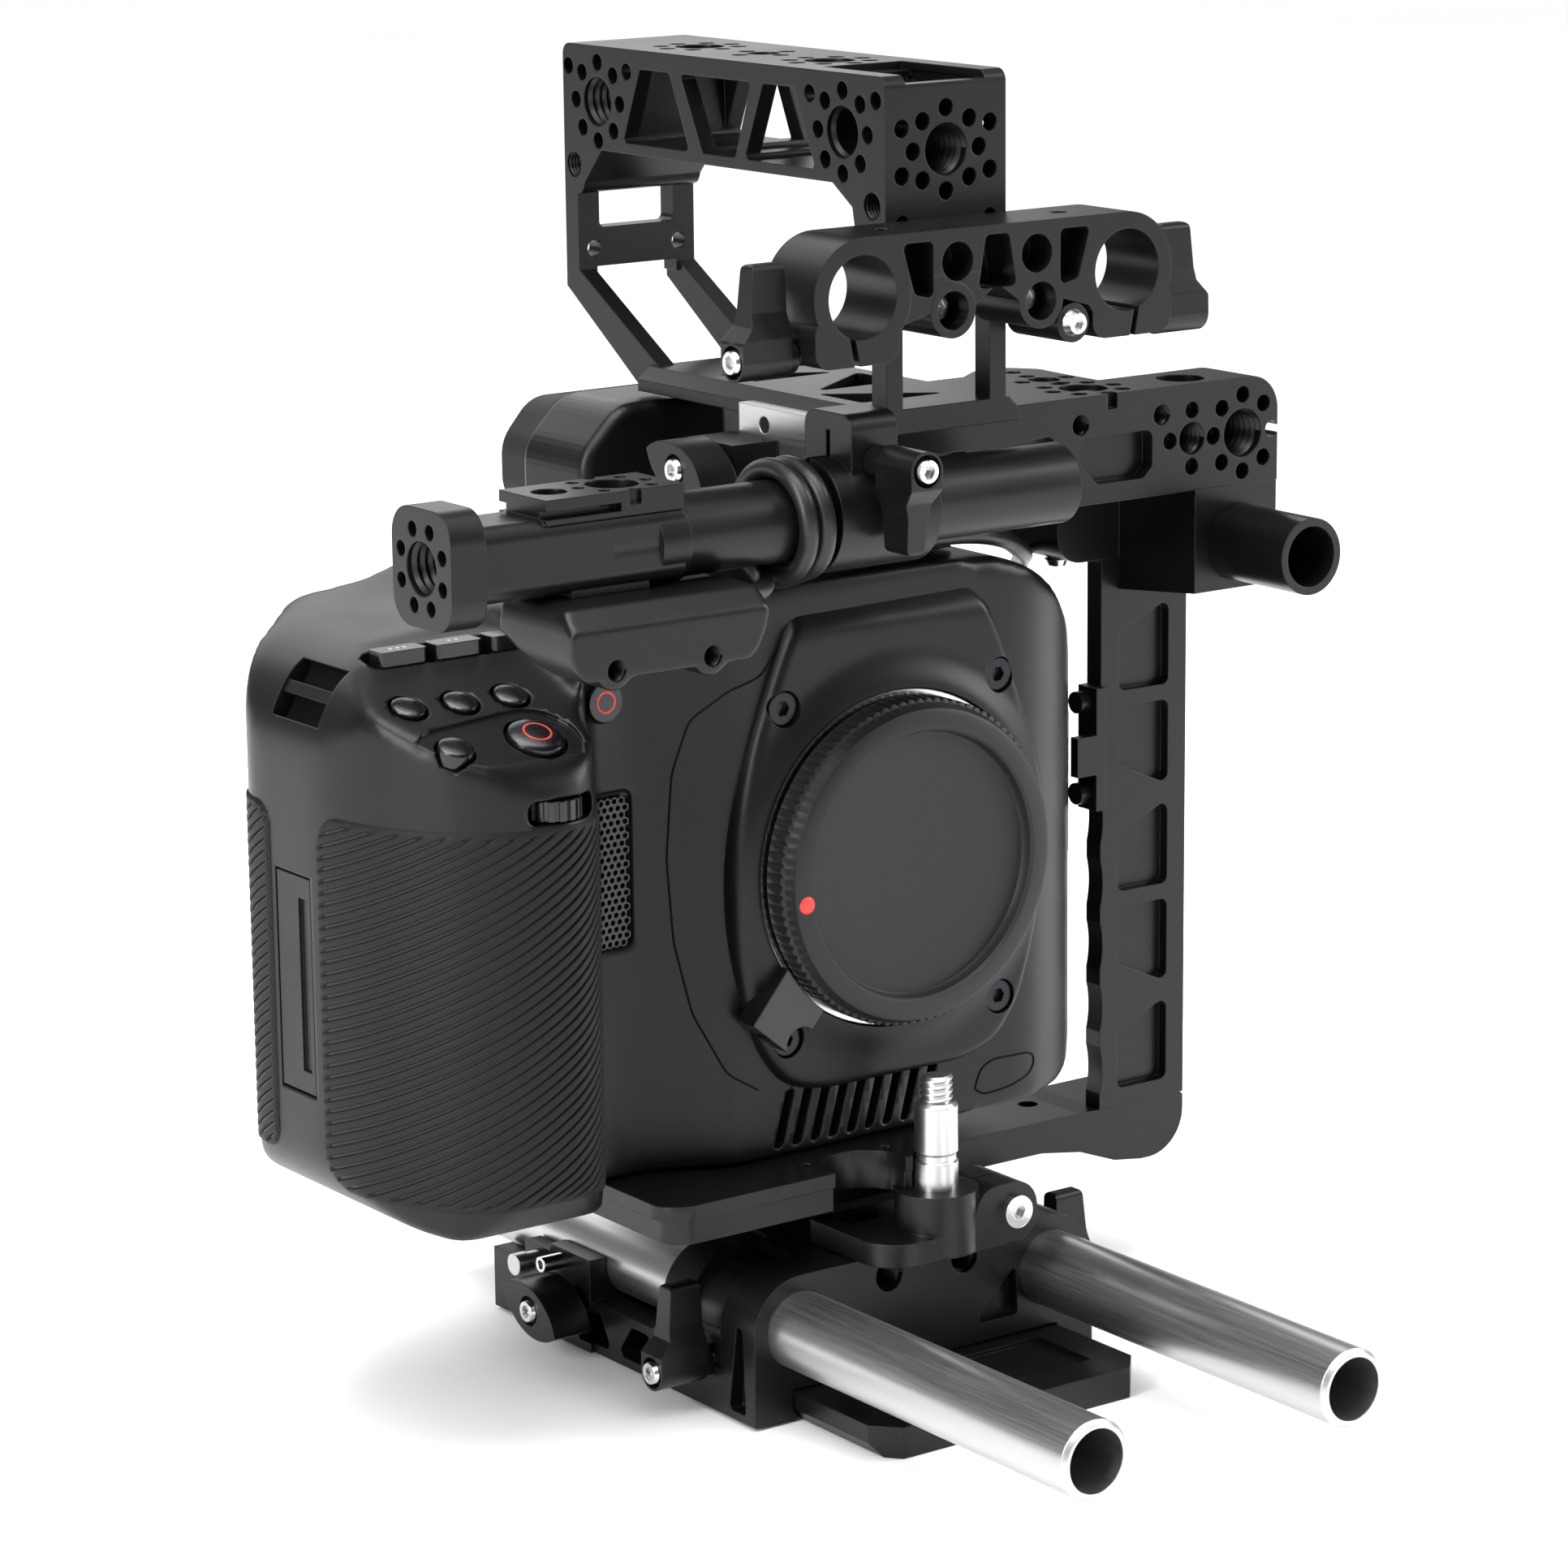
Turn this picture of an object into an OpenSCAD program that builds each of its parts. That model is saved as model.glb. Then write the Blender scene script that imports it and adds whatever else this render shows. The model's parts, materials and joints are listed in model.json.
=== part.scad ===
// Cinema camera rig: a camera body in a half cage, with a top handle, a
// lightweight 15 mm rod baseplate, a second rod clamp up top and an arm that
// carries a run/stop box. Millimetres. X runs across the rig, Y from front
// to back, Z up. The origin is the tripod thread in the dovetail plate's
// underside, straight below the lens axis.

/* [Rods] */
// Diameter of the support rods
rod_d = 15; // [15:0.1:15.2]
// Distance between the two rod centres
rod_gap = 60; // [60:0.5:61]
// Length of the two lower rods
rod_len = 203; // [195:1:230]
// How far the lower rods stand out in front of the base
rod_out = 87.5; // [75:0.5:95]
// Height of the lower rods above the floor
rod_z = 18; // [18:0.1:18.4]
// Wall of the steel rods
rod_wall = 1.5; // [1:0.1:2.5]

/* [Camera] */
// Height of the lens axis above the lower rods
lens_rise = 85; // [84.5:0.1:85.5]
// Lowest point of the camera body
cam_z0 = 47.5; // [47:0.1:47.8]
// Highest point of the camera body
cam_z1 = 157.5; // [157:0.1:157.8]
// Left side of the grip
cam_x0 = -112; // [-112.5:0.1:-111.5]
// Right side of the body
cam_x1 = 67; // [66.5:0.1:67]
// Radius of the body cap's front face
cap_r = 29.8; // [29:0.1:30]

/* [Threads and small holes] */
// Diameter of the large accessory threads
thread_big = 9.525; // [9.5:0.005:9.55]
// Diameter of the small accessory threads
thread_small = 6.35; // [6.3:0.01:6.4]
// Diameter of the M4 holes
hole_m4 = 4; // [3.9:0.05:4.1]
// Distance between a pair of M4 holes
gap_m4 = 20; // [20:0.1:20.2]
// Diameter of the holes in the rings round the threads
ring_hole = 3.3; // [3:0.1:3.4]
// Diameter of the circle of those holes
ring_d = 15; // [15:0.1:15.2]

/* [Handle and cage] */
// Top of the handle above the floor
handle_top = 251; // [250:0.5:252]
// Width of the handle
handle_w = 27.4; // [27:0.1:27.6]
// Top face of the cage
cage_top = 186.4; // [186.2:0.1:186.4]
// Right end of the cage's top plate
cage_x1 = 92.4; // [92:0.1:93]

/* [Arm] */
// Diameter of the arm's tube
tube_d = 15; // [14.8:0.1:15]
// Height of the arm's tube
tube_z = 174.9; // [174.8:0.1:175]
// Left end of the arm's bracket
arm_x0 = -116; // [-116.5:0.5:-115.5]
// Diameter of the run/stop lead
lead_d = 3.6; // [3.4:0.1:3.8]

/* [Hidden] */
$fn = 48;
eps = 0.01;
run_gap = 0.05;   // radial clearance of a running fit
free_gap = 0.3;   // gap between pieces that pass each other

rod_r = rod_d / 2;
rod_x = rod_gap / 2;
rod_y0 = -38 - rod_out;
lens_z = rod_z + lens_rise;
tube_r = tube_d / 2;
tube_y = -50;

// heights of the stack from the floor up
plate_h = 6;
block_y0 = -38;
block_y1 = 52;
block_x = 40.6;
block_z0 = 0.6;
pad_top = 29.4;
bar_top = 36;
ear_r = 10.6;

// top rod clamp
top_z = 214.5;
top_y0 = -60;
top_y1 = -45;
top_ear_z = 204.3;

// handle
handle_y0 = -45;
handle_y1 = 59;
handle_x = handle_w / 2;
leg_w = 3.7;
leg_t = 4.4;

// the lead's route, from the box to the coil and from the coil to the plug
lead_a = [[-58, -56, 163.6], [-52, -56, 163.6], [-47, -56, 163.3], [-43.5, -55.4, 163.3],
  [-41.4, -53, 164]];
lead_b = [[-38, -51, 161.3], [-37.2, -46, 161.3], [-35, -40.5, 161.4], [-31, -35.5, 161.5],
  [-25, -31, 161.6], [-17, -27.5, 161.6], [-8, -25, 161.6], [2, -23.4, 161.6], [12, -22.2, 161.5],
  [20, -21.2, 161.1], [27, -19.8, 160.2], [33, -17.4, 158.8], [39, -13.8, 156.8],
  [45, -9.4, 154], [50, -4.6, 151.8], [54.5, 1, 150], [58.5, 7, 147.8], [62.5, 12.6, 144.6],
  [66.6, 17, 139.6], [70, 20, 133.2], [71.8, 21.6, 126], [72, 22, 118.6], [71.8, 22, 111]];

// ---------- shapes used by several pieces ----------

// cylinders that run along one axis from a to b
module xcyl(r, a, b, y, z) { translate([a, y, z]) rotate([0, 90, 0]) cylinder(r = r, h = b - a); }
module ycyl(r, a, b, x, z) { translate([x, b, z]) rotate([90, 0, 0]) cylinder(r = r, h = b - a); }
module zcyl(r, a, b, x, y) { translate([x, y, a]) cylinder(r = r, h = b - a); }
module box(a, b) { translate(a) cube([b[0] - a[0], b[1] - a[1], b[2] - a[2]]); }

// outlines drawn in X-Z and pushed along Y, in Y-Z along X
module along_y(a, b) { translate([0, b, 0]) rotate([90, 0, 0]) linear_extrude(b - a) children(); }
module along_x(a, b) {
  translate([a, 0, 0]) rotate([90, 0, 90]) linear_extrude(b - a) children();
}

// rounded rectangle from corner p to corner q
module rounded(p, q, r) {
  translate([p[0] + r, p[1]]) square([q[0] - p[0] - 2 * r, q[1] - p[1]]);
  translate([p[0], p[1] + r]) square([q[0] - p[0], q[1] - p[1] - 2 * r]);
  for (x = [p[0] + r, q[0] - r], y = [p[1] + r, q[1] - r]) translate([x, y]) circle(r);
}
// outline with its corners rounded, outer ones and inner ones
module soft_corners(r) { offset(r) offset(-r) children(); }

// directions that a hole can face
function turn(face) =
  face == "-y" ? [90, 0, 0] : face == "+y" ? [-90, 0, 0] : face == "-x" ? [0, -90, 0] :
  face == "+x" ? [0, 90, 0] : face == "-z" ? [180, 0, 0] : [0, 0, 0];

// a drilled hole of a depth, with its mouth at p, facing a direction
module hole(p, face, d, depth) {
  translate(p) rotate(turn(face)) translate([0, 0, -depth]) cylinder(d = d, h = depth + 1);
}
// a thread with its ring of small holes
module ring_of(p, face, count, circle_d, depth) {
  translate(p) rotate(turn(face)) for (i = [0:count - 1])
    rotate(360 * i / count) translate([0, circle_d / 2, -depth])
      cylinder(d = ring_hole, h = depth + 1, $fn = 24);
}
module big_thread(p, face, depth, ring_depth) {
  hole(p, face, thread_big, depth);
  ring_of(p, face, 8, ring_d, ring_depth);
}
module small_thread(p, face, depth, ring_depth) {
  hole(p, face, thread_small, depth);
  ring_of(p, face, 4, 11, ring_depth);
}
// button-head screw: head on the face at p, shank going in
module button_screw(p, face, head_r, head_h, shank_r, shank) {
  translate(p) rotate(turn(face)) difference() {
    union() {
      cylinder(r1 = head_r, r2 = head_r * 0.72, h = head_h);
      translate([0, 0, -shank]) cylinder(r = shank_r, h = shank + eps);
    }
    translate([0, 0, head_h * 0.35]) cylinder(d = head_r * 0.95, h = head_h, $fn = 6);
  }
}

// clamping lever in its own frame: the axis is Z, the outer end is z = 0 and
// the hub goes down to z = -hub; the arm points along +Y and thins to its tip
lever_hub = 10.6;
module lever(arm, hub) {
  difference() {
    union() {
      intersection() {
        translate([0, 0, -lever_hub]) linear_extrude(lever_hub) soft_corners(1.4)
          polygon([[-3.5, -1], [3.5, -1], [3.4, 4], [2.2, 8.5], [1.9, arm], [-1.9, arm], [-2.2, 8.5],
            [-3.4, 4]]);
        along_x(-5, 5) soft_corners(0.9) polygon([[-4, 0], [3.4, 0], [6.2, -2.4], [arm, -3.4],
          [arm, -10], [8, -lever_hub + 0.4], [5, -lever_hub], [-4, -lever_hub]]);
      }
      translate([0, 0, -lever_hub]) cylinder(r = 3.5, h = lever_hub);
      translate([0, 0, -hub]) cylinder(r = 3, h = hub - lever_hub + 1);
    }
    translate([0, 0, -hub - 1]) cylinder(r = 2.1, h = hub + 2);
    translate([0, 0, -1.4]) cylinder(r = 3, h = 2);
  }
}
// eye-shaped knob, same frame: two arcs that meet in points along +-Y
module eye_knob(half_len, half_w, thick, hub) {
  arc_r = (half_len * half_len / half_w + half_w) / 2;
  difference() {
    union() {
      translate([0, 0, -thick]) linear_extrude(thick) intersection() {
        translate([arc_r - half_w, 0]) circle(arc_r, $fn = 96);
        translate([half_w - arc_r, 0]) circle(arc_r, $fn = 96);
      }
      translate([0, 0, -hub]) cylinder(r = 3, h = hub - thick + 1);
    }
    translate([0, 0, -hub - 1]) cylinder(r = 2.1, h = hub + 2);
    translate([0, 0, -1.4]) cylinder(r = 3, h = 2);
  }
}

// ---------- base ----------

// dovetail plate under the base, wider at its top than at its bottom
module dovetail_plate() color("#1c1d20") {
  y0 = -66;
  y1 = 54;
  difference() {
    intersection() {
      along_y(y0, y1)
        polygon([[-29.5, 0], [29.5, 0], [31.5, 2.5], [31.5, plate_h], [-31.5, plate_h], [-31.5, 2.5]]);
      linear_extrude(plate_h) polygon([[-27, y0], [27, y0], [31.5, y0 + 5], [31.5, y1 - 5],
        [27, y1], [-27, y1], [-31.5, y1 - 5], [-31.5, y0 + 5]]);
    }
    hole([0, 0, 0], "-z", thread_big, plate_h + 1);
    for (y = [-20, 20]) hole([0, y, 0], "-z", thread_small, plate_h + 1);
    // shallow relief in the top face
    box([-24, y0 + 8, plate_h - 0.8], [24, -42, plate_h + 1]);
  }
}

module side_window(y_low, y_high, lean, z0, z1) {
  soft_corners(1.2)
    polygon([[y_low, z0], [y_high, z0], [y_high - lean, z1], [y_low + (lean < 0 ? -lean : 0), z1]]);
}

// base block: rod bores at the front, side rails with windows, rear bridge
module base_block() color("#1c1d20") difference() {
  union() {
    // front wall and the body behind it
    along_y(block_y0, -8) base_outline();
    // middle deck that carries the bar and plate above
    box([-22, -16, 7], [22, 40, pad_top]);
    box([-34, -9, 7], [34, 46, 9.5]);
    // side rails
    for (s = [-1, 1]) along_x(s < 0 ? -block_x : block_x - 6, s < 0 ? -block_x + 6 : block_x)
      polygon([[-9, block_z0], [block_y1 - 8, block_z0], [block_y1 - 8, 11], [-4, 11], [-9, 14]]);
    // rear bridge, and the boss on its left that holds the pin
    box([-block_x, block_y1 - 14, block_z0], [block_x, block_y1, 13]);
    box([-41.5, 16, block_z0], [-32, 30, 19.5]);
    box([-41.5, 29, block_z0], [-32, 39, 18]);
  }
  // dovetail way, right through from front to back
  along_y(block_y0 - 1, block_y1 + 1)
    polygon([[-29.8, -1], [29.8, -1], [29.8, 0], [31.8, 2.4], [31.8, 6.3], [-31.8, 6.3],
      [-31.8, 2.4], [-29.8, 0]]);
  for (s = [-1, 1]) {
    // rod bores, and the open troughs the rods lie in behind them
    ycyl(rod_r + run_gap, block_y0 - 1, -7, s * rod_x, rod_z);
    ycyl(rod_r + free_gap, -9, block_y1 + 1, s * rod_x, rod_z);
    // waist between the two ridges, where the sleeve shows
    difference() {
      ycyl(ear_r + 3, -27, -17, s * rod_x, rod_z);
      ycyl(ear_r - 1.3, -28, -16, s * rod_x, rod_z);
      box([s * 28 - 12, -28, 0], [s * 28 + 12, -16, 16]);
      box([-24, -28, 0], [24, -16, 40]);
    }
    // slit that lets the sleeve close on the rod
    box([s < 0 ? -block_x - 1 : rod_x + rod_r - 2, -26, 15.2],
      [s < 0 ? -rod_x - rod_r + 2 : block_x + 1, -10, 16.4]);
    // tall window in the front wall's side
    along_x(s < 0 ? -block_x - 1 : block_x - 3, s < 0 ? -block_x + 3 : block_x + 1)
      soft_corners(0.8) polygon([[-35, 2.2], [-29.6, 2.2], [-32.2, 19], [-34, 19]]);
    // windows in the side rail
    along_x(s < 0 ? -block_x - 1 : block_x - 7, s < 0 ? -block_x + 7 : block_x + 1) {
      side_window(-3, 8, 5, 2.4, 9.2);
      side_window(10, 20, -4, 2.4, 9.2);
      side_window(22, 33, 5, 2.4, 9.2);
    }
    // front face pockets
    translate([s * 17.5, block_y0 - 1, 15.5]) rotate([-90, 0, 0]) linear_extrude(3.5)
      soft_corners(0.8) polygon([[-5.5, 5.5], [4.5 * s, 5.5], [4 * s, -5], [-5.5 * s, 5]]);
    // lever threads
    hole([s * block_x, -22, lever_z], s < 0 ? "-x" : "+x", 4, 10);
    hole([s * 9, block_y0, 24.3], "-y", thread_small, 12);
  }
  // knob thread, release pin and guide screw holes in the left rear
  hole([-41.5, knob_y, knob_z], "-x", 4, 8);
  hole([-41.5, pin_y, pin_z], "-x", 4.1, 3.2);
  hole([-41.5, guide_y, guide_z], "-x", 3.3, 3.2);
}
module base_outline() {
  translate([-rod_x, block_z0]) square([2 * rod_x, rod_z + ear_r - block_z0]);
  for (s = [-1, 1]) {
    translate([s * rod_x, rod_z]) circle(ear_r);
    translate([s < 0 ? -block_x : rod_x, block_z0]) square([block_x - rod_x, rod_z - block_z0]);
  }
}

module rod(x) difference() {
  union() {
    ycyl(rod_r, rod_y0 + 0.8, rod_y0 + rod_len - 0.8, x, rod_z);
    translate([x, rod_y0 + 0.8, rod_z]) rotate([90, 0, 0]) cylinder(r1 = rod_r, r2 = rod_r - 0.8, h = 0.8);
    translate([x, rod_y0 + rod_len, rod_z]) rotate([90, 0, 0])
      cylinder(r2 = rod_r, r1 = rod_r - 0.8, h = 0.8);
  }
  ycyl(rod_r - rod_wall, rod_y0 - 1, rod_y0 + rod_len + 1, x, rod_z);
}
module rod_left() color("silver") rod(-rod_x);
module rod_right() color("silver") rod(rod_x);

lever_out = 53;
lever_z = 9.8;
module base_lever_left() color("#202125")
  translate([-lever_out, -22, lever_z]) rotate([0, -90, 0]) rotate(-90) lever(16.6, 12.2);
module base_lever_right() color("#202125")
  translate([lever_out, -22, lever_z]) rotate([0, 90, 0]) rotate(90) lever(16.6, 12.2);

knob_y = 22;
knob_z = 9.8;
pin_y = 34;
pin_z = 15.2;
guide_y = 25.4;
guide_z = 17.3;
module rear_knob() color("#202125")
  translate([-52, knob_y, knob_z]) rotate([0, -90, 0]) rotate(-20) eye_knob(9.8, 4.8, 8.6, 10.2);

// plunger that lets the dovetail plate go
module release_pin() color("silver") {
  xcyl(2, -47.2, -38.6, pin_y, pin_z);
  xcyl(2.2, -47.5, -44.8, pin_y, pin_z);
}

// ---------- plate, support arm and post ----------

module camera_plate() color("#1c1d20") difference() {
  union() {
    translate([0, 0, 40]) linear_extrude(cam_z0 - 40 - 2.6) rounded([-59, -39], [7, 20], 4.5);
    box([-40, -26, bar_top], [7, 16, 40.1]);
    translate([0, 0, cam_z0 - 2.8]) linear_extrude(2.8) rounded([-60.5, -39.6], [8, 30], 6);
  }
  // camera screw slot and its counterbore
  translate([0, 0, bar_top - 1]) linear_extrude(14) rounded([-3.4, -14], [3.4, 16], 3.3);
  // clear of the post, its clamp and the clamp's ear
  zcyl(4.65, 39, 49, 0, -41);
  zcyl(8.2, 39, 41.1, 0, -41);
  box([0, -40, 39], [19, -34.8, 41.1]);
  // round notch in the front edge, with a small hole each side of it
  zcyl(8.4, 35, 49, -14.4, -38);
  for (x = [-23.6, -5]) hole([x, -32, cam_z0], "+z", 2.4, 3);
}

module support_arm() color("#1c1d20") difference() {
  union() {
    // flat plate with a round nose
    translate([0, 0, 28.8]) linear_extrude(4.6) difference() {
      union() {
        translate([-17, -40]) square([35, 18]);
        translate([-9, -40]) circle(8);
        translate([10, -40]) circle(8);
        translate([-9, -48]) square([19, 10]);
      }
      soft_corners(1) polygon([[-13, -25], [-13, -31], [-6, -31], [-3, -25]]);
    }
    // raised clamp round the post, and its ear
    zcyl(8, 29, 41, 0, -41);
    along_y(-48, -35) rounded([4, 29], [18.8, 41], 5.5);
  }
  zcyl(4.15 + run_gap, 28, 42, 0, -41);
  // slit and pinch screw hole
  box([3, -41.5, 33.4], [20, -40.5, 42]);
  hole([13.3, -48, 35.4], "-y", 3.3, 14);
  translate([-30, -23.6, 27]) cube([60, 10, 10]);
}

// steel post with a threaded stud on top
module lens_post() color("silver") {
  zcyl(4.15, 34, 57.2, 0, -41);
  translate([0, -41, 57.2]) cylinder(r1 = 4.15, r2 = 3.5, h = 0.8);
  zcyl(thread_small / 2, 57, 63, 0, -41);
}

// button-head screws at the ends of the levers and knobs
module clamp_screws() color("silver") {
  for (s = [-1, 1]) 
    button_screw([s * (lever_out - 1.3), -22, lever_z], s < 0 ? "-x" : "+x", 2.8, 2, 1.9, 17);
  for (s = [-1, 1])
    button_screw([s * (top_out - 1.3), -52.5, top_ear_z], s < 0 ? "-x" : "+x", 2.8, 2, 1.9, 26);
  button_screw([-50.7, knob_y, knob_z], "-x", 2.8, 2, 1.9, 14);
  button_screw([rail_knob_x + 1.3, rail_knob_y, rail_knob_z], "-x", 2.8, 2, 1.9, 15.4);
  button_screw([arm_lever_x, arm_lever_y + 1.3, arm_lever_z], "-y", 2.8, 2, 1.9, 20);
}
// socket-head screws: post clamp, rear guide screw, captive camera screw
module socket_screws() color("silver") {
  translate([13.3, -48, 35.4]) rotate([90, 0, 0]) difference() {
    union() { cylinder(r = 3.2, h = 1.6); translate([0, 0, -10]) cylinder(r = 1.6, h = 10.1); }
    translate([0, 0, 0.4]) cylinder(d = 3, h = 2, $fn = 6);
  }
  difference() {
    union() {
      xcyl(1.6, -46.8, -38.6, guide_y, guide_z);
    }
    xcyl(0.9, -48, -45, guide_y, guide_z);
  }
  zcyl(3.1, bar_top + 0.2, cam_z0 + 5.5, 0, 0);
}

// ---------- cage ----------
cage_y0 = -8;
arm_xa = 67;
arm_xb = 89;
bar_low = 23.4;
arm_back = -3.6;

module cage_bottom_bar() color("#1d1e21") difference() {
  along_y(cage_y0, 12) soft_corners(1) difference() {
    union() {
      translate([-22, pad_top]) square([84, bar_top - pad_top]);
      polygon([[52, pad_top], [62, 27.8], [71, 24.4], [78, bar_low], [arm_xb, bar_low], [arm_xb, 35.8],
        [arm_xa, 35.8], [61, bar_top], [52, bar_top]]);
    }
    translate([arm_xb - 9, bar_low - eps]) difference() {
      square([9.1, 9]);
      translate([0, 9]) circle(9);
    }
  }
  // camera screw clearance, hole beside the arm
  zcyl(3.6, pad_top - 1, bar_top + 1, 0, 0);
  hole([57.7, 3.5, bar_top], "+z", 4, 5);
}

// flat upright with finger waves on its inner edge and leaning pockets
module cage_side_arm() color("#1d1e21") difference() {
  box([arm_xa, cage_y0, 35.8], [arm_xb, arm_back, 149]);
  for (z = [44:13:96]) ycyl(20, cage_y0 - 1, arm_back + 1, arm_xa - 19.4, z);
  for (i = [0:4]) {
    zc = 48 + 20.6 * i;
    lean = i % 2 == 0 ? 4.6 : -4.6;
    translate([0, cage_y0 + 2.2, 0]) rotate([90, 0, 0]) linear_extrude(4) soft_corners(1.6)
      polygon([[71.6, zc - 8.6 + (lean > 0 ? 0 : 5.6)], [84.4, zc - 8.6], [84.4, zc + 8.8],
        [71.6, zc + 8.8 - (lean > 0 ? 5.6 : 0)]]);
  }
  for (z = thumb_z) hole([arm_xa, thumb_y, z], "-x", 2, 6);
}
thumb_z = [101.8, 120.4];
thumb_y = -5.8;

// block that carries the rod stub: a boss that comes forward, and a back part
side_z = 154.2;
side_x = 82.4;
module side_rod_block() color("#1d1e21") difference() {
  union() {
    along_x(71.5, cage_x1 - 0.2) polygon([[plate_y0, 145], [cage_y0, 142.6], [cage_y0, cage_low],
      [plate_y0, cage_low]]);
    along_y(cage_y0, 12) difference() {
      translate([55.8, 149]) square([cage_x1 - 56, cage_low - 149]);
      translate([55.7, 148.9]) difference() { square(6); translate([6.1, 6.1]) circle(6); }
    }
  }
  hole([side_x, plate_y0, side_z], "-y", rod_d, 17);
  zcyl(1.5, 148, 157.2, 61.5, -1);
}

// black 15 mm stub, bored through
module side_rod() color("#202125") difference() {
  ycyl(rod_r, -52.5, plate_y0 + 17, side_x, side_z);
  ycyl(rod_r - 1.6, -53.5, plate_y0 + 15, side_x, side_z);
}

plate_y0 = -31;
cage_low = cage_top - 21;
module cage_top_plate() color("#1d1e21") difference() {
  union() {
    // front bar, with its outer top corner rounded
    along_y(plate_y0, plate_y0 + 15) difference() {
      translate([-17, cage_low]) square([cage_x1 + 17, cage_top - cage_low]);
      translate([cage_x1 - 7, cage_top - 7]) difference() { square(7.1); circle(7); }
    }
    // deck behind the bar, with its lobe
    translate([0, 0, cage_top - 9.4]) linear_extrude(9.4) soft_corners(3)
      polygon([[-17, -20], [59.5, -20], [59.5, -6], [60, 3], [56, 8.6], [48, 8.6], [42, 4], [36, 4],
        [-17, 4]]);
    // foot that stands on the camera
    box([-12, -15, cam_z1], [24, 4, cage_top - 8]);
  }
  // pockets in the front bar
  translate([0, plate_y0 + 3, 0]) rotate([90, 0, 0]) linear_extrude(5) {
    soft_corners(1.6) polygon([[44, 178.4], [60.6, 178.4], [60.6, 171.4], [58.4, 169.2], [47, 169.2],
      [42, 174.4]]);
    soft_corners(1.6) polygon([[20, 178.6], [35.6, 179.6], [41.6, 172.2], [39.8, 169.4], [20, 169.4]]);
    soft_corners(1.6) polygon([[-6, 179], [16, 179], [16, 169.4], [-2, 169.4], [-6, 174]]);
  }
  for (x = [m4_x, m4_x + gap_m4]) hole([x, plate_y0, m4_z], "-y", hole_m4, 6);
  small_thread([70.5, plate_y0, 175.7], "-y", 10, 2.5);
  big_thread([83.4, plate_y0, 175.5], "-y", 10, 5);
  big_thread([50.6, -22.3, cage_top], "+z", 12, 3);
  small_thread([51.8, -8.9, cage_top], "+z", 12, 3);
  hole([53, 2.4, cage_top], "+z", 3.3, 12);
  hole([73.3, -24.2, cage_top], "+z", thread_big, 3.4);
}
m4_x = 42.9;
m4_z = 181;

// small bracket on the upright that holds the camera's plugs, two thumb screws
module cable_bracket() color("#18191b") difference() {
  union() {
    box([59.8, -9.6, 106], [arm_xa - 2.2, -7.4, 114]);
    box([arm_xa - 2.4, -9.6, 98.5], [arm_xa, arm_back - 0.2, 123.5]);
  }
  for (z = thumb_z) xcyl(1.6, arm_xa - 3, arm_xa + 1, thumb_y, z);
}
module bracket_thumb_screws() color("#18191b") for (z = thumb_z) {
  xcyl(2.2, arm_xa - 4.8, arm_xa - 2.45, thumb_y, z);
  xcyl(0.95, arm_xa - 3, arm_xa + 3, thumb_y, z);
}

// small silver button heads: rod clamp to handle, clamp pinch, cage block
module small_button_screws() color("silver") {
  for (s = [-1, 1]) button_screw([s * gap_m4 / 2, top_y0 + 6.4, 210.5], "-y", 3, 2, 1.9, 8);
  button_screw([pinch[0], top_y0, pinch[1]], "-y", 2.6, 1.6, 1.4, 8);
  button_screw([61.5, -1, 149], "-z", 2.6, 1.4, 1.4, 8);
}

// ---------- handle ----------
module handle_side_window(y_a, y_b, top_a, top_b)
  soft_corners(0.9) polygon([[y_a, 233], [y_b, 233], [top_b, 247.4], [top_a, 247.4]]);

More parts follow.
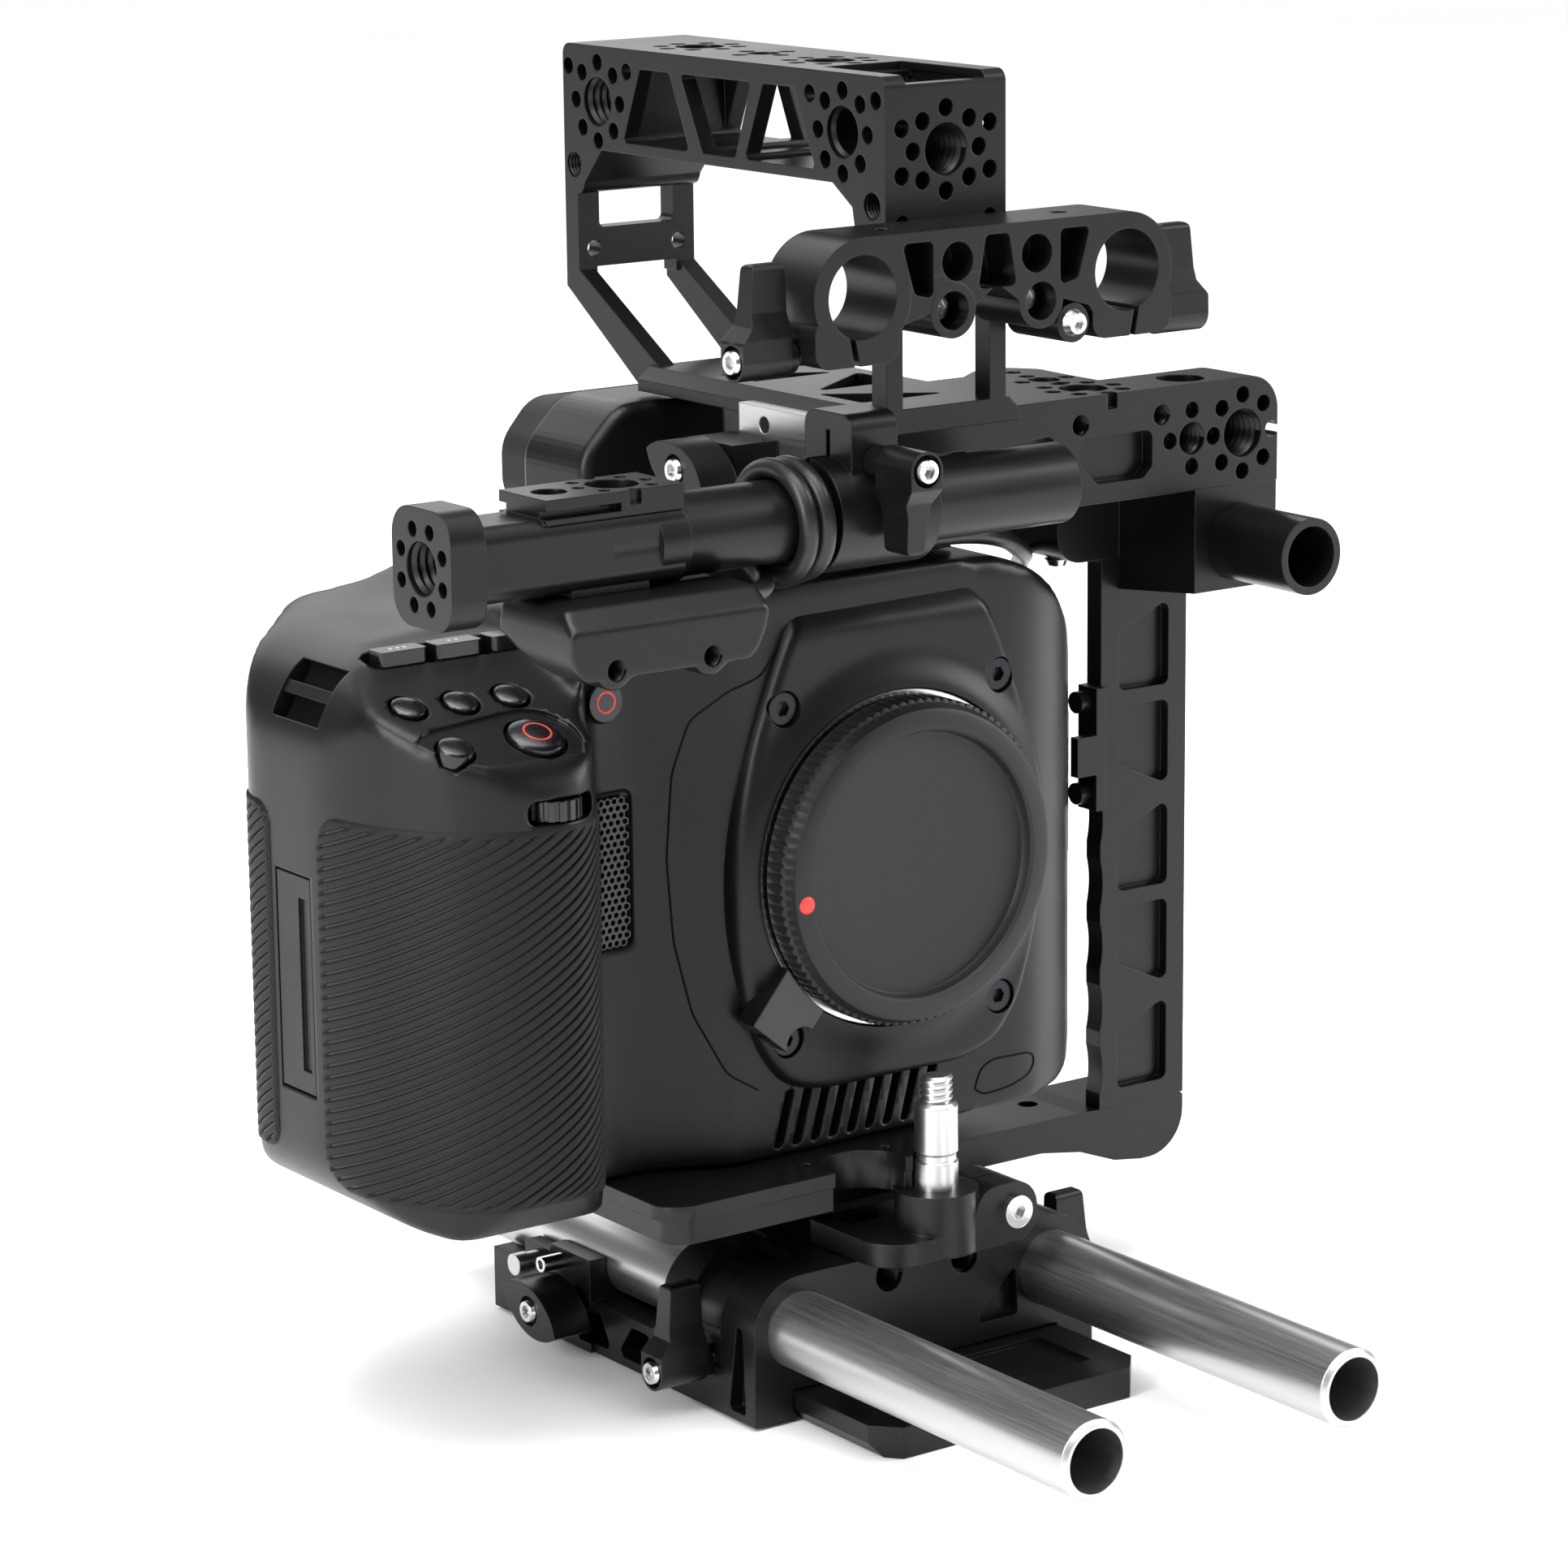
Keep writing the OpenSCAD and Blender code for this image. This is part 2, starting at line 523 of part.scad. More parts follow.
module top_handle() color("#1d1e21") difference() {
  union() {
    // hollow grip with end blocks that drop to the bosses
    along_x(-handle_x, handle_x) soft_corners(2.2) polygon([[handle_y0, 222], [-36, 222], [-35, 227],
      [-29, 231], [46, 231], [52, 224.4], [53, 222], [handle_y1, 222], [handle_y1, handle_top],
      [handle_y0, handle_top]]);
    // front legs
    for (s = [-1, 1]) box([s < 0 ? -handle_x : handle_x - leg_w, handle_y0, 189],
      [s < 0 ? -handle_x + leg_w : handle_x, handle_y0 + leg_t, 224]);
    // rear frame and its two diagonals
    along_y(handle_y1 - leg_t, handle_y1) difference() {
      translate([-handle_x, 205]) square([handle_w, 20]);
      soft_corners(1.2) polygon([[-8.8, 215], [8.8, 215], [8.8, 223.2], [-8.8, 223.2]]);
      translate([-handle_x + leg_w + 0.6, 204]) square([handle_w - 2 * leg_w - 1.2, 3.4]);
    }
    for (s = [-1, 1]) along_x(s < 0 ? -handle_x : handle_x - leg_w, s < 0 ? -handle_x + leg_w : handle_x)
      polygon([[54.6, 207], [handle_y1, 206], [handle_y1, 203.6], [34, 186.4], [25, 186.4], [27, 190.6]]);
    // truss base plate with bevelled sides
    along_y(handle_y0, 30) polygon([[-17, 186.4], [17, 186.4], [17, 188.6], [14.4, 191], [-14.4, 191],
      [-17, 188.6]]);
  }
  // inside of the grip, and the windows in both sides
  box([-handle_x + 3.4, -23, 234], [handle_x - 3.4, 38.6, 247.2]);
  along_x(-handle_x - 1, handle_x + 1) {
    handle_side_window(38.6, 16.3, 32.5, 22.7);
    handle_side_window(12, 1.4, 19.2, -4);
    handle_side_window(-1.6, -23.9, -7.7, -17.4);
  }
  // triangles in the base plate
  for (t = [[-34, -20, 1], [-17, -3, -1], [0, 12, 1], [14, 26, -1]])
    translate([0, 0, 185]) linear_extrude(8) soft_corners(0.8)
      polygon([[-11 * t[2], t[0]], [9 * t[2], t[0]], [-11 * t[2], t[1]]]);
  // accessory shoe in the top front
  box([-9, handle_y0 - 1, handle_top - 1.6], [9, -20, handle_top + 1]);
  box([-9.4, handle_y0 + 3, handle_top - 3.6], [9.4, -22, handle_top - 1.4]);
  // front face
  big_thread([0, handle_y0, 237.3], "-y", 15, 5);
  for (x = [-1, 1], z = [-1, 1]) hole([x * gap_m4 / 2, handle_y0, 237.3 + 4.25 * z], "-y", 3.3, 7);
  // both sides
  for (s = [-1, 1]) {
    f = s < 0 ? "-x" : "+x";
    for (y = [-32.2, 47.1]) {
      big_thread([s * handle_x, y, 240.3], f, 8, 3);
      for (dy = [-10, 10]) if (abs(y + dy) < 58)
        hole([s * handle_x, y + dy, 246.6], f, 3.3, 5);
    }
    for (y = [-41, 55.6]) hole([s * handle_x, y, 227.6], f, 5, 6);
  }
  // row of threads along the top
  for (y = [-10, 32]) big_thread([0, y, handle_top], "+z", 6, 3);
  small_thread([0, 11, handle_top], "+z", 6, 3);
  // crossbar pair
  for (s = [-1, 1]) hole([s * gap_m4 / 2, handle_y1 - leg_t, 211], "-y", 3.3, leg_t + 2);
  // holes for the rod clamp's screws
  for (s = [-1, 1]) hole([s * gap_m4 / 2, handle_y0, 224.5], "-y", 3, 4);
}

// bright rail on the left edge of the handle's base
module steel_rail() color("#c9c9c6") difference() {
  box([-20.2, -39.2, 177.2], [-17, -8, 189]);
  for (y = [-34, -16]) xcyl(1.6, -21, -16, y, 185.6);
}

// ---------- top rod clamp ----------
pinch = [17.4, 205.9];
module top_outline() {
  translate([-rod_x, 217]) square([2 * rod_x, top_z + ear_r - 217]);
  for (s = [-1, 1]) {
    translate([s * rod_x, top_z]) circle(ear_r);
    translate([s * 10, 210.5]) circle(5);
    if (s > 0) translate(pinch) circle(3.6);
    polygon([[s * 5, 211], [s * 15, 210.5], [s * 24, 208], [s * 26, 222], [0, 222], [0, 214.5]]);
    // ear that the lever pulls on
    translate([s < 0 ? -40.4 : 22, 202.4]) rounded([0, 0], [18.4, 9], 3);
  }
}
module top_rod_clamp() color("#1d1e21") difference() {
  along_y(top_y0, top_y1) top_outline();
  for (s = [-1, 1]) {
    ycyl(rod_r, top_y0 - 1, top_y1 + 1, s * rod_x, top_z);
    // slit below the bore
    translate([s * 31.4, -52.5, 203]) rotate([0, s * 12, 0]) cube([1.2, 20, 14], center = true);
    // counterbored holes
    ycyl(3.5, top_y0 - 1, top_y0 + 6.4, s * 10, 210.5);
    ycyl(2, top_y0, top_y1 + 1, s * 10, 210.5);
    ycyl(3.5, top_y0 - 1, top_y0 + 6.4, s * 9, 219.2);
    // leaning pocket beside each bore
    translate([0, top_y0 + 8, 0]) rotate([90, 0, 0]) linear_extrude(9) soft_corners(1.1)
      polygon([[s * 14.4, 223.2], [s * 21.4, 223.2], [s * 18.6, 214], [s * 14.4, 213]]);
    // lever hole
    xcyl(2.1, s < 0 ? -41 : 24, s < 0 ? -24 : 41, -52.5, top_ear_z);
  }
  // middle window
  translate([0, top_y0 + 8, 0]) rotate([90, 0, 0]) linear_extrude(9) soft_corners(1.1)
    polygon([[-2.6, 223.4], [2.6, 223.4], [4.4, 213.8], [-4.4, 213.8]]);
  // hole for the pinch screw, two M4 in the top
  ycyl(1.5, top_y0 - 1, top_y0 + 9, pinch[0], pinch[1]);
  for (s = [-1, 1]) hole([s * gap_m4, -52.5, top_z + ear_r], "+z", 3.3, 2.6);
}
top_out = 53;
module top_lever_left() color("#202125")
  translate([-top_out, -52.5, top_ear_z]) rotate([0, -90, 0]) rotate(-90) lever(16.9, 12.4);
module top_lever_right() color("#202125")
  translate([top_out, -52.5, top_ear_z]) rotate([0, 90, 0]) rotate(90) lever(16.9, 12.4);

// ---------- arm ----------
rail_knob_x = -41;
rail_knob_y = -16.6;
rail_knob_z = 179.4;
arm_lever_x = -25.2;
arm_lever_y = -72;
arm_lever_z = 184.7;

// clamp on the rail and round the tube, in one block
module arm_clamp() color("#1a1b1e") difference() {
  union() {
    // collar
    xcyl(10.4, -35, -13, tube_y, tube_z);
    // ears above the collar
    along_x(-30.6, -20.4) translate([tube_y - 7, tube_z + 5]) rounded([0, 0], [14, 13.4], 3);
    // link back to the jaw, and the jaw on the rail
    box([-30.6, -42, 172.6], [-20.6, -8, 176.9]);
    box([-30.6, -20.6, 172.6], [-20.5, -6.4, 183.4]);
  }
  xcyl(tube_r + run_gap, -36, -12, tube_y, tube_z);
  // slit over the tube, lever and knob holes
  box([-36, tube_y - 0.6, tube_z + 5], [-12, tube_y + 0.6, 190]);
  ycyl(2.1, tube_y - 10, tube_y + 4, arm_lever_x, arm_lever_z);
  xcyl(2.1, -32, -24, rail_knob_y, rail_knob_z);
  ycyl(3.3, tube_y - 12, tube_y - 7, arm_lever_x, arm_lever_z);
}
module rail_knob() color("#202125")
  translate([rail_knob_x, rail_knob_y, rail_knob_z]) rotate([0, -90, 0]) rotate(-20)
    eye_knob(9.4, 4.8, 8.4, 10.2);
module arm_lever() color("#202125")
  translate([arm_lever_x, arm_lever_y, arm_lever_z]) rotate([90, 0, 0]) rotate(180)
    lever(15.6, 14.8);

module arm_tube() color("#1a1b1e") difference() {
  xcyl(tube_r, arm_x0 + 34, 21.6, tube_y, tube_z);
  xcyl(tube_r - 2.2, arm_x0 + 33, 22.6, tube_y, tube_z);
}

// end bracket: threaded end plate, flattened bar and a shoe on top
module arm_end_bracket() color("#1a1b1e") difference() {
  union() {
    along_x(arm_x0, arm_x0 + 7) translate([tube_y, tube_z]) rounded([-9.4, -10.4], [9.4, 10.4], 5.5);
    along_x(arm_x0 + 6, arm_x0 + 49) translate([tube_y, tube_z]) rounded([-7.6, -6.6], [7.6, 7], 3);
    xcyl(8.4, arm_x0 + 44, arm_x0 + 50, tube_y, tube_z);
    box([arm_x0 + 20.5, tube_y - 7.4, tube_z + 6], [arm_x0 + 49, tube_y + 7.4, tube_z + 10.4]);
    // boss that carries the box
    box([arm_x0 + 26, tube_y - 6.5, tube_z - 7.4], [arm_x0 + 42, tube_y + 6.5, tube_z - 6]);
  }
  xcyl(tube_r + 0.02, arm_x0 + 34, arm_x0 + 51, tube_y, tube_z);
  translate([arm_x0, tube_y, tube_z]) rotate([0, -90, 0]) {
    translate([0, 0, -10]) cylinder(d = thread_big, h = 11);
    for (i = [0:7]) rotate(45 * i + 22.5) translate([ring_d / 2 - 0.4, 0, -5])
      cylinder(d = 2.8, h = 6, $fn = 24);
  }
  // undercut of the shoe, and its threads
  for (s = [-1, 1]) box([arm_x0 + 16, tube_y + s * 6.4 - 1.2, tube_z + 6.9],
    [arm_x0 + 36, tube_y + s * 6.4 + 1.2, tube_z + 8.4]);
  hole([arm_x0 + 26, tube_y, tube_z + 10.4], "+z", thread_small, 9);
  hole([arm_x0 + 39, tube_y, tube_z + 10.4], "+z", thread_big, 3.2);
  for (a = [0:45:315]) translate([arm_x0 + 39 + 7 * cos(a), tube_y + 7 * sin(a), tube_z + 7.8])
    cylinder(d = 2.4, h = 4, $fn = 24);
}

// run/stop box under the bracket
box_x0 = -97;
module run_stop_box() color("#1a1b1e") difference() {
  union() {
    // side profile, cut to the front outline with its round lower corners
    intersection() {
      along_x(box_x0, box_x0 + 41.4) translate([tube_y, tube_z]) soft_corners(2.4)
        polygon([[-17, -11], [-13, -7.8], [-6, -7.4], [6, -7.4], [6, -14], [-6, -20.4], [-17, -20.2]]);
      along_y(tube_y - 20, tube_y + 10) soft_corners(3.4) polygon([[box_x0, 168], [box_x0 + 41.4, 168],
        [box_x0 + 41.4, 163], [box_x0 + 39, 157.5], [box_x0 + 34, 154], [box_x0 + 4, 154],
        [box_x0, 158]]);
    }
    // lobes round the two threads
    for (x = [0, gap_m4]) ycyl(3.6, tube_y - 17, tube_y - 9, box_x0 + 9 + x, 156.4);
  }
  for (x = [0, gap_m4]) hole([box_x0 + 9 + x, tube_y - 17, 156.4], "-y", hole_m4, 7);
  xcyl(1.8, box_x0 + 38, box_x0 + 42, -56, 163.6);
  xcyl(8.5, -83, box_x0 + 43, tube_y, tube_z);
}

// ---------- lead ----------
// points on a circle of radius r round p, square to direction d
function unit(v) = v / norm(v);
function ring_at(p, d, r, n) = let(
    s = unit(cross(d, abs(d[2]) < 0.8 ? [0, 0, 1] : [1, 0, 0])), u = cross(s, d))
  [for (i = [0:n - 1]) p + r * (cos(360 * i / n) * s + sin(360 * i / n) * u)];
function heading(pts, i) = let(m = len(pts) - 1) unit(pts[min(i + 1, m)] - pts[max(i - 1, 0)]);
module swept(pts, r, n) {
  m = len(pts);
  rings = [for (i = [0:m - 1]) each ring_at(pts[i], heading(pts, i), r, n)];
  polyhedron(rings, concat([[for (i = [0:n - 1]) i]],
    [for (k = [0:m - 2], i = [0:n - 1]) let(j = (i + 1) % n)
      [k * n + i, (k + 1) * n + i, (k + 1) * n + j, k * n + j]],
    [[for (i = [n - 1:-1:0]) (m - 1) * n + i]]));
}
module lead_box_end() color("#101113") swept(lead_a, lead_d / 2, 8);
// outer shape of the turns round the tube
module lead_coil() color("#101113") translate([-43.4, tube_y, tube_z]) rotate([0, 90, 0])
  rotate_extrude() translate([tube_r + 0.1, 0]) square([lead_d + 0.3, 7.6]);
module lead_camera_end() color("#101113") swept(lead_b, lead_d / 2, 8);
module lead_plug() color("#101113") {
  translate([0, 0, 97]) linear_extrude(14) rounded([cam_x1 + 0.2, 17.6], [cam_x1 + 8.4, 26.4], 2);
  box([cam_x1 - 5, 19.8, 99.2], [cam_x1 + 0.4, 24.2, 108.8]);
}

// ---------- camera ----------
cam_front = -20;
cam_split = 14;
cam_back = 50;
grip_top = 150;

// plan of the body and grip
module cam_plan() soft_corners(5) polygon([[cam_x1, 11], [cam_x1, cam_back - 6], [cam_x1 - 8, cam_back],
  [-84, cam_back], [-96, 34], [cam_x0, 22], [cam_x0, -8], [-108, -22], [-100, -34], [-90, -40.5],
  [-78, -41], [-71, -35], [-68, -24], [-64, -18.5], [-52, -18.5], [-43, -23], [-36, -26],
  [36, -25], [45, -20.6], [52, -15.4], [57.5, -9.6], [61.5, -4], [64.6, 2], [66.4, 7]]);
// front view of the body and grip
module cam_front_view() soft_corners(6) polygon([[-104, cam_z0], [cam_x1 - 13, cam_z0],
  [cam_x1 - 4, 54], [cam_x1, 66], [cam_x1, 110], [62, 128], [54, 141], [42, 151], [30, 156.5],
  [16, cam_z1], [-40, cam_z1], [-58, 156], [-70, 152.5], [-96, 151.5], [-106, 148], [cam_x0, 138],
  [cam_x0, 55]]);
// side view: the grip's top falls towards the front
module cam_grip_side() polygon([[-60, 40], [60, 40], [60, 160], [16, 160], [4, 151.5], [-4, grip_top],
  [-20, 143], [-34, 136.8], [-38, 134], [-41, 130], [-41.5, 60], [-37, 51], [-30, 45]]);

module cam_solid() intersection() {
  translate([0, 0, cam_z0]) linear_extrude(cam_z1 - cam_z0) cam_plan();
  along_y(-60, 60) cam_front_view();
  union() {
    along_x(-120, -66) cam_grip_side();
    box([-66.01, -60, 40], [80, 60, 160]);
  }
}
// a button's well: a hole square to the sloping top of the grip
slope = atan(7 / 16);
module on_slope(x, y) {
  translate([x, y, grip_top - (-4 - y) * 7 / 16]) rotate([slope, 0, 0]) children();
}
balance_at = [-100.5, -19];
shutter_at = [-90, -19.6];
gain_at = [-79.5, -19.8];
stills_at = [-98.5, -31.4];
record_at = [-81.5, -31.2];
key_x = [-93.5, -81.8, -70];
key_y = -4.4;

// the strap lug's window: its middle on the grip's outer top corner, +Z out of the corner
module strap_lug() translate([cam_x0 + 3.9, 3, 144]) rotate([0, -57, 0]) children();

module camera_front_shell() color("#26272b") difference() {
  intersection() {
    cam_solid();
    box([-120, -60, 40], [80, cam_split, 160]);
  }
  // hollow for the sensor and the battery bay
  box([-34, -19.8, 62], [34, cam_split + 1, 146]);
  box([-105, -12, 54], [-74, cam_split + 1, 128]);
  // seat of the lens plate and throat of the mount
  along_y(-40, cam_front) lens_outline(0.15);
  ycyl(25, -24, -14, 0, lens_z);
  // slanted vents under the lens
  for (x = [-27:4.3:8]) translate([x, cam_front - 7, 50]) rotate([0, 14, 0]) cube([2.2, 4, 10]);
  // wells of the buttons
  for (w = [[balance_at, 3.5], [shutter_at, 3.5], [gain_at, 3.5], [stills_at, 3.7], [record_at, 5.7]])
    on_slope(w[0][0], w[0][1]) translate([0, 0, -4]) cylinder(r = w[1], h = 8);
  // slot of the three keys
  translate([0, 0, grip_top - 4.6]) linear_extrude(12)
    rounded([-100.6, key_y - 3.2], [-62.8, key_y + 3.2], 3);
  // bore for the camera screw
  zcyl(3.2, cam_z0 - 1, cam_z0 + 7, 0, 0);
  // wheel slot and front record well
  along_y(-46, -30.4) rounded([-89.5, 124], [-74.5, 128.6], 2.2);
  ycyl(4, -30, -13.8, front_rec[0], front_rec[1]);
  // recesses for the rubbers, the door and the strap bar
  rubber_front(0.05, 2);
  rubber_side(0.05, 2);
  box([cam_x0 - 1, door_y0 - free_gap, door_z0 - free_gap],
    [cam_x0 + 2.3, door_y1 + free_gap, door_z1 + free_gap]);
  strap_lug() cube([11.6, 16, 7], center = true);
}

module camera_rear_shell() color("#26272b") difference() {
  intersection() {
    cam_solid();
    box([-120, cam_split, 40], [80, 60, 160]);
  }
  box([-34, cam_split - 1, 62], [34, 34, 146]);
  box([-105, cam_split - 1, 54], [-80, 18, 128]);
  // bay of the rear screen
  box([-66, cam_back - 4, 66], [58, cam_back + 1, 140]);
  rubber_side(0.05, 2);
  // port that the lead's plug goes into
  box([cam_x1 - 6, 19.6, 99], [cam_x1 + 1, 24.4, 109]);
}

// outline of the plate round the lens mount, grown by g
module lens_outline(g) offset(g) soft_corners(4)
  polygon([[-18.5, 158.5], [18.5, 158.5], [23, 151], [31, 132], [36.6, 112], [36.8, 90], [31, 72],
    [22, 63], [-22, 63], [-31, 72], [-36.8, 90], [-36.6, 112], [-31, 132], [-23, 151]]);
plate_front = -28.5;
screw_x = 25.2;
screw_dz = 31.7;
module lens_plate() color("#2a2b30") difference() {
  along_y(plate_front, cam_front) intersection() {
    lens_outline(0);
    translate([-40, 60]) square([80, cam_z1 - 60]);
  }
  // slanted top face at the top
  along_x(-40, 40) polygon([[plate_front - 1, 150.4], [plate_front, 150.4], [cam_front + 1.4, 158],
    [plate_front - 1, 160]]);
  // bevelled ring down to the mount
  translate([0, plate_front - eps, lens_z]) rotate([-90, 0, 0]) cylinder(r1 = 36.4, r2 = 33.2, h = 2);
  ycyl(27, plate_front - 1, cam_front + 1, 0, lens_z);
  for (s = [-1, 1], t = [-1, 1]) {
    ycyl(3.4, plate_front - 1, plate_front + 3, s * screw_x, lens_z + t * screw_dz);
    ycyl(1.6, plate_front - 1, cam_front + 1, s * screw_x, lens_z + t * screw_dz);
  }
  // window of the release button
  translate([-26.4, plate_front, 79.2]) rotate([0, 40, 0]) cube([13, 6.5, 17], center = true);
}
module lens_plate_screws() color("#202125") for (s = [-1, 1], t = [-1, 1]) difference() {
  union() {
    ycyl(3.1, plate_front + 0.6, plate_front + 3, s * screw_x, lens_z + t * screw_dz);
    ycyl(1.5, plate_front + 2, cam_front - 0.1, s * screw_x, lens_z + t * screw_dz);
  }
  translate([s * screw_x, plate_front + 1.8, lens_z + t * screw_dz]) rotate([90, 0, 0])
    cylinder(d = 3, h = 3, $fn = 6);
}
// bright bayonet ring
module mount_ring() color("silver") difference() {
  union() {
    ycyl(32.2, -29.6, plate_front + 1.98, 0, lens_z);
    ycyl(26.9, -27, cam_front - 0.1, 0, lens_z);
  }
  ycyl(24, -31, cam_front + 1, 0, lens_z);
}
// body cap with a grooved rim and a sunk face
module body_cap() color("#26272b") difference() {
  union() {
    ycyl(cap_r, -38, -34.6, 0, lens_z);
    ycyl(31.4, -35, -30, 0, lens_z);
    ycyl(23.6, -31, -26, 0, lens_z);
  }
  ycyl(25.4, -39, -35.4, 0, lens_z);
  ycyl(21.6, -32, -25, 0, lens_z);
  for (i = [0:47]) translate([0, 0, lens_z]) rotate([0, 7.5 * i, 0])
    translate([31.6, -32.5, 0]) cube([1.2, 4.2, 1.6], center = true);
}
module release_button() color("#232428") intersection() {
  translate([-26.4, -30.2, 79.2]) rotate([0, 40, 0]) cube([12.2, 5.4, 16.2], center = true);
  difference() {
    along_y(-34, -20) translate([-60, 40]) square([60, 60]);
    ycyl(32.6, -35, -19, 0, lens_z);
    ycyl(3.5, -35, -19, -screw_x, lens_z - screw_dz);
  }
}

// rubber sheets on the grip: a front one that wraps round, a ribbed side pad
module rubber_front(g, deep) {
  intersection() {
    difference() {
      translate([0, 0, 50.5 - g]) linear_extrude(74.5 + 2 * g) offset(g) cam_plan();
      translate([0, 0, 40]) linear_extrude(120) offset(-deep) cam_plan();
    }
    box([-113, -44, 50.5 - g], [-68 + g, -6 + g, 120 + g]);
    along_x(-120, -66) cam_grip_side();
  }
}
module rubber_side(g, deep) {
  intersection() {
    difference() {
      translate([0, 0, 54 - g]) linear_extrude(69 + 2 * g) offset(g) cam_plan();
      translate([0, 0, 40]) linear_extrude(120) offset(-deep) cam_plan();
    }
    box([-113, 11.4 - g, 54 - g], [-98, 24 + g, 123 + g]);
  }
}
module grip_rubbers() color("#15161a") {
  rubber_front(0, 1.9);
  rubber_side(0, 1.9);
}

door_y0 = -2;
door_y1 = 9.6;
door_z0 = 70;
door_z1 = 110.5;
module media_door() color("#222327") difference() {
  box([cam_x0 + 0.1, door_y0, door_z0], [cam_x0 + 2, door_y1, door_z1]);
  box([cam_x0 - 1, door_y0 + 1.2, door_z0 + 4], [cam_x0 + 0.7, door_y0 + 4.2, door_z1 - 4]);
}
module strap_bar() color("#26272b") strap_lug() translate([0, 0, -1.2]) cube([2.4, 15.9, 2], center = true);

// three keys in one slot
module function_key(i) color("#1f2024")
  translate([key_x[i], key_y, grip_top - 3.7]) linear_extrude(4.9) rounded([-4.9, -2.5], [4.9, 2.5], 1);
module function_key_1() function_key(2);
module function_key_2() function_key(1);
module function_key_3() function_key(0);

module round_button(at, r, up) on_slope(at[0], at[1]) translate([0, 0, -3]) cylinder(r = r, h = 3 + up);
module button_balance() color("#17181b") round_button(balance_at, 3.2, 1);
module button_shutter() color("#17181b") round_button(shutter_at, 3.2, 1);
module button_gain() color("#17181b") round_button(gain_at, 3.2, 1);
module stills_button() color("#17181b") round_button(stills_at, 3.3, 0.9);
module record_button() color("#17181b") round_button(record_at, 5.3, 1);
front_rec = [-60.4, 139.6];
module front_record_button() color("#17181b") ycyl(3.6, -22, -15, front_rec[0], front_rec[1]);

// wheel under the record button, on an upright axle
wheel_at = [-82, -36.4, 126.3];
module thumb_wheel() color("#17181b") translate(wheel_at) difference() {
  translate([0, 0, -1.8]) cylinder(r = 5.4, h = 3.6);
  for (i = [0:15]) rotate(22.5 * i) translate([5.4, 0, 0]) cube([1.1, 0.9, 6], center = true);
}

module rear_screen() color("#0c0d10")
  along_y(cam_back - 3.8, cam_back + 4) rounded([-65.6, 66.4], [57.6, 139.6], 4);
module sensor_board() color("#1d5b3a") {
  box([-30, 2, 66], [30, 4, 142]);
  box([-19, -2, 90.5], [19, 2.01, 115.5]);
}

finder_y = 24;
module viewfinder_body() color("#26272b") along_y(finder_y, 46) soft_corners(9)
  polygon([[-34, cam_z1 + free_gap], [34, cam_z1 + free_gap], [34, 176], [25, 185], [-25, 185], [-34, 176]]);
module viewfinder_eyecup() color("#131417") {
  along_y(46, 51) soft_corners(8)
    polygon([[-31, 159], [31, 159], [31, 175], [23, 183.4], [-23, 183.4], [-31, 175]]);
  along_y(51, 62) difference() {
    soft_corners(8) polygon([[-28, 159], [28, 159], [28, 174], [21, 182], [-21, 182], [-28, 174]]);
    translate([0, 170]) circle(9);
  }
}

dovetail_plate();
base_block();
rod_left();
rod_right();
base_lever_left();
base_lever_right();
rear_knob();
release_pin();
camera_plate();
support_arm();
lens_post();
clamp_screws();
socket_screws();
cage_bottom_bar();
cage_side_arm();
side_rod_block();
side_rod();
cage_top_plate();
cable_bracket();
bracket_thumb_screws();
small_button_screws();
top_handle();
steel_rail();
top_rod_clamp();
top_lever_left();
top_lever_right();
arm_clamp();
rail_knob();
arm_lever();
arm_tube();
arm_end_bracket();
run_stop_box();
lead_box_end();
lead_coil();
lead_camera_end();
lead_plug();
camera_front_shell();
camera_rear_shell();
lens_plate();
lens_plate_screws();
mount_ring();
body_cap();
release_button();
grip_rubbers();
media_door();
strap_bar();
function_key_1();
function_key_2();
function_key_3();
button_balance();
button_shutter();
button_gain();
stills_button();
record_button();
front_record_button();
thumb_wheel();
rear_screen();
sensor_board();
viewfinder_body();
viewfinder_eyecup();
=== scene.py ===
"""Looks of the cinema camera rig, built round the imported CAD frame. All lengths are in metres."""
import math

import bmesh
import bpy
from mathutils import Matrix, Vector
from mathutils.bvhtree import BVHTree
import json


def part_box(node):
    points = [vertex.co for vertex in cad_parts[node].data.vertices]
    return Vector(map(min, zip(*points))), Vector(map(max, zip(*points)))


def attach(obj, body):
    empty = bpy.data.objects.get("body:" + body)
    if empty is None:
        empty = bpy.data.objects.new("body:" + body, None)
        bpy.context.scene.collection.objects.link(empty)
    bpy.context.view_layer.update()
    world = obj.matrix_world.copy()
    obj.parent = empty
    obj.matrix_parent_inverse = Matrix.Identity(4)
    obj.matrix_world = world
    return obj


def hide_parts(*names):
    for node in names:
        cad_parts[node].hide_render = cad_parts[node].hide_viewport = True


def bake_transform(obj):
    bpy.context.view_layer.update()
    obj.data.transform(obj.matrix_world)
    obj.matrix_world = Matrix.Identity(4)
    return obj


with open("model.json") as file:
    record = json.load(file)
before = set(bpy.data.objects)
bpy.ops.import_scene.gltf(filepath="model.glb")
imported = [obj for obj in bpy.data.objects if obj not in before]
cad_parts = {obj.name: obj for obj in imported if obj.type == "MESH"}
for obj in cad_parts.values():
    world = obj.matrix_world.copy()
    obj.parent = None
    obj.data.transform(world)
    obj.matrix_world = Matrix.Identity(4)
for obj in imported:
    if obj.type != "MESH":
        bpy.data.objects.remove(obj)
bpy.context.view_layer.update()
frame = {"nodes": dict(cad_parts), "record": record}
nodes = frame["nodes"]
MM = 0.001

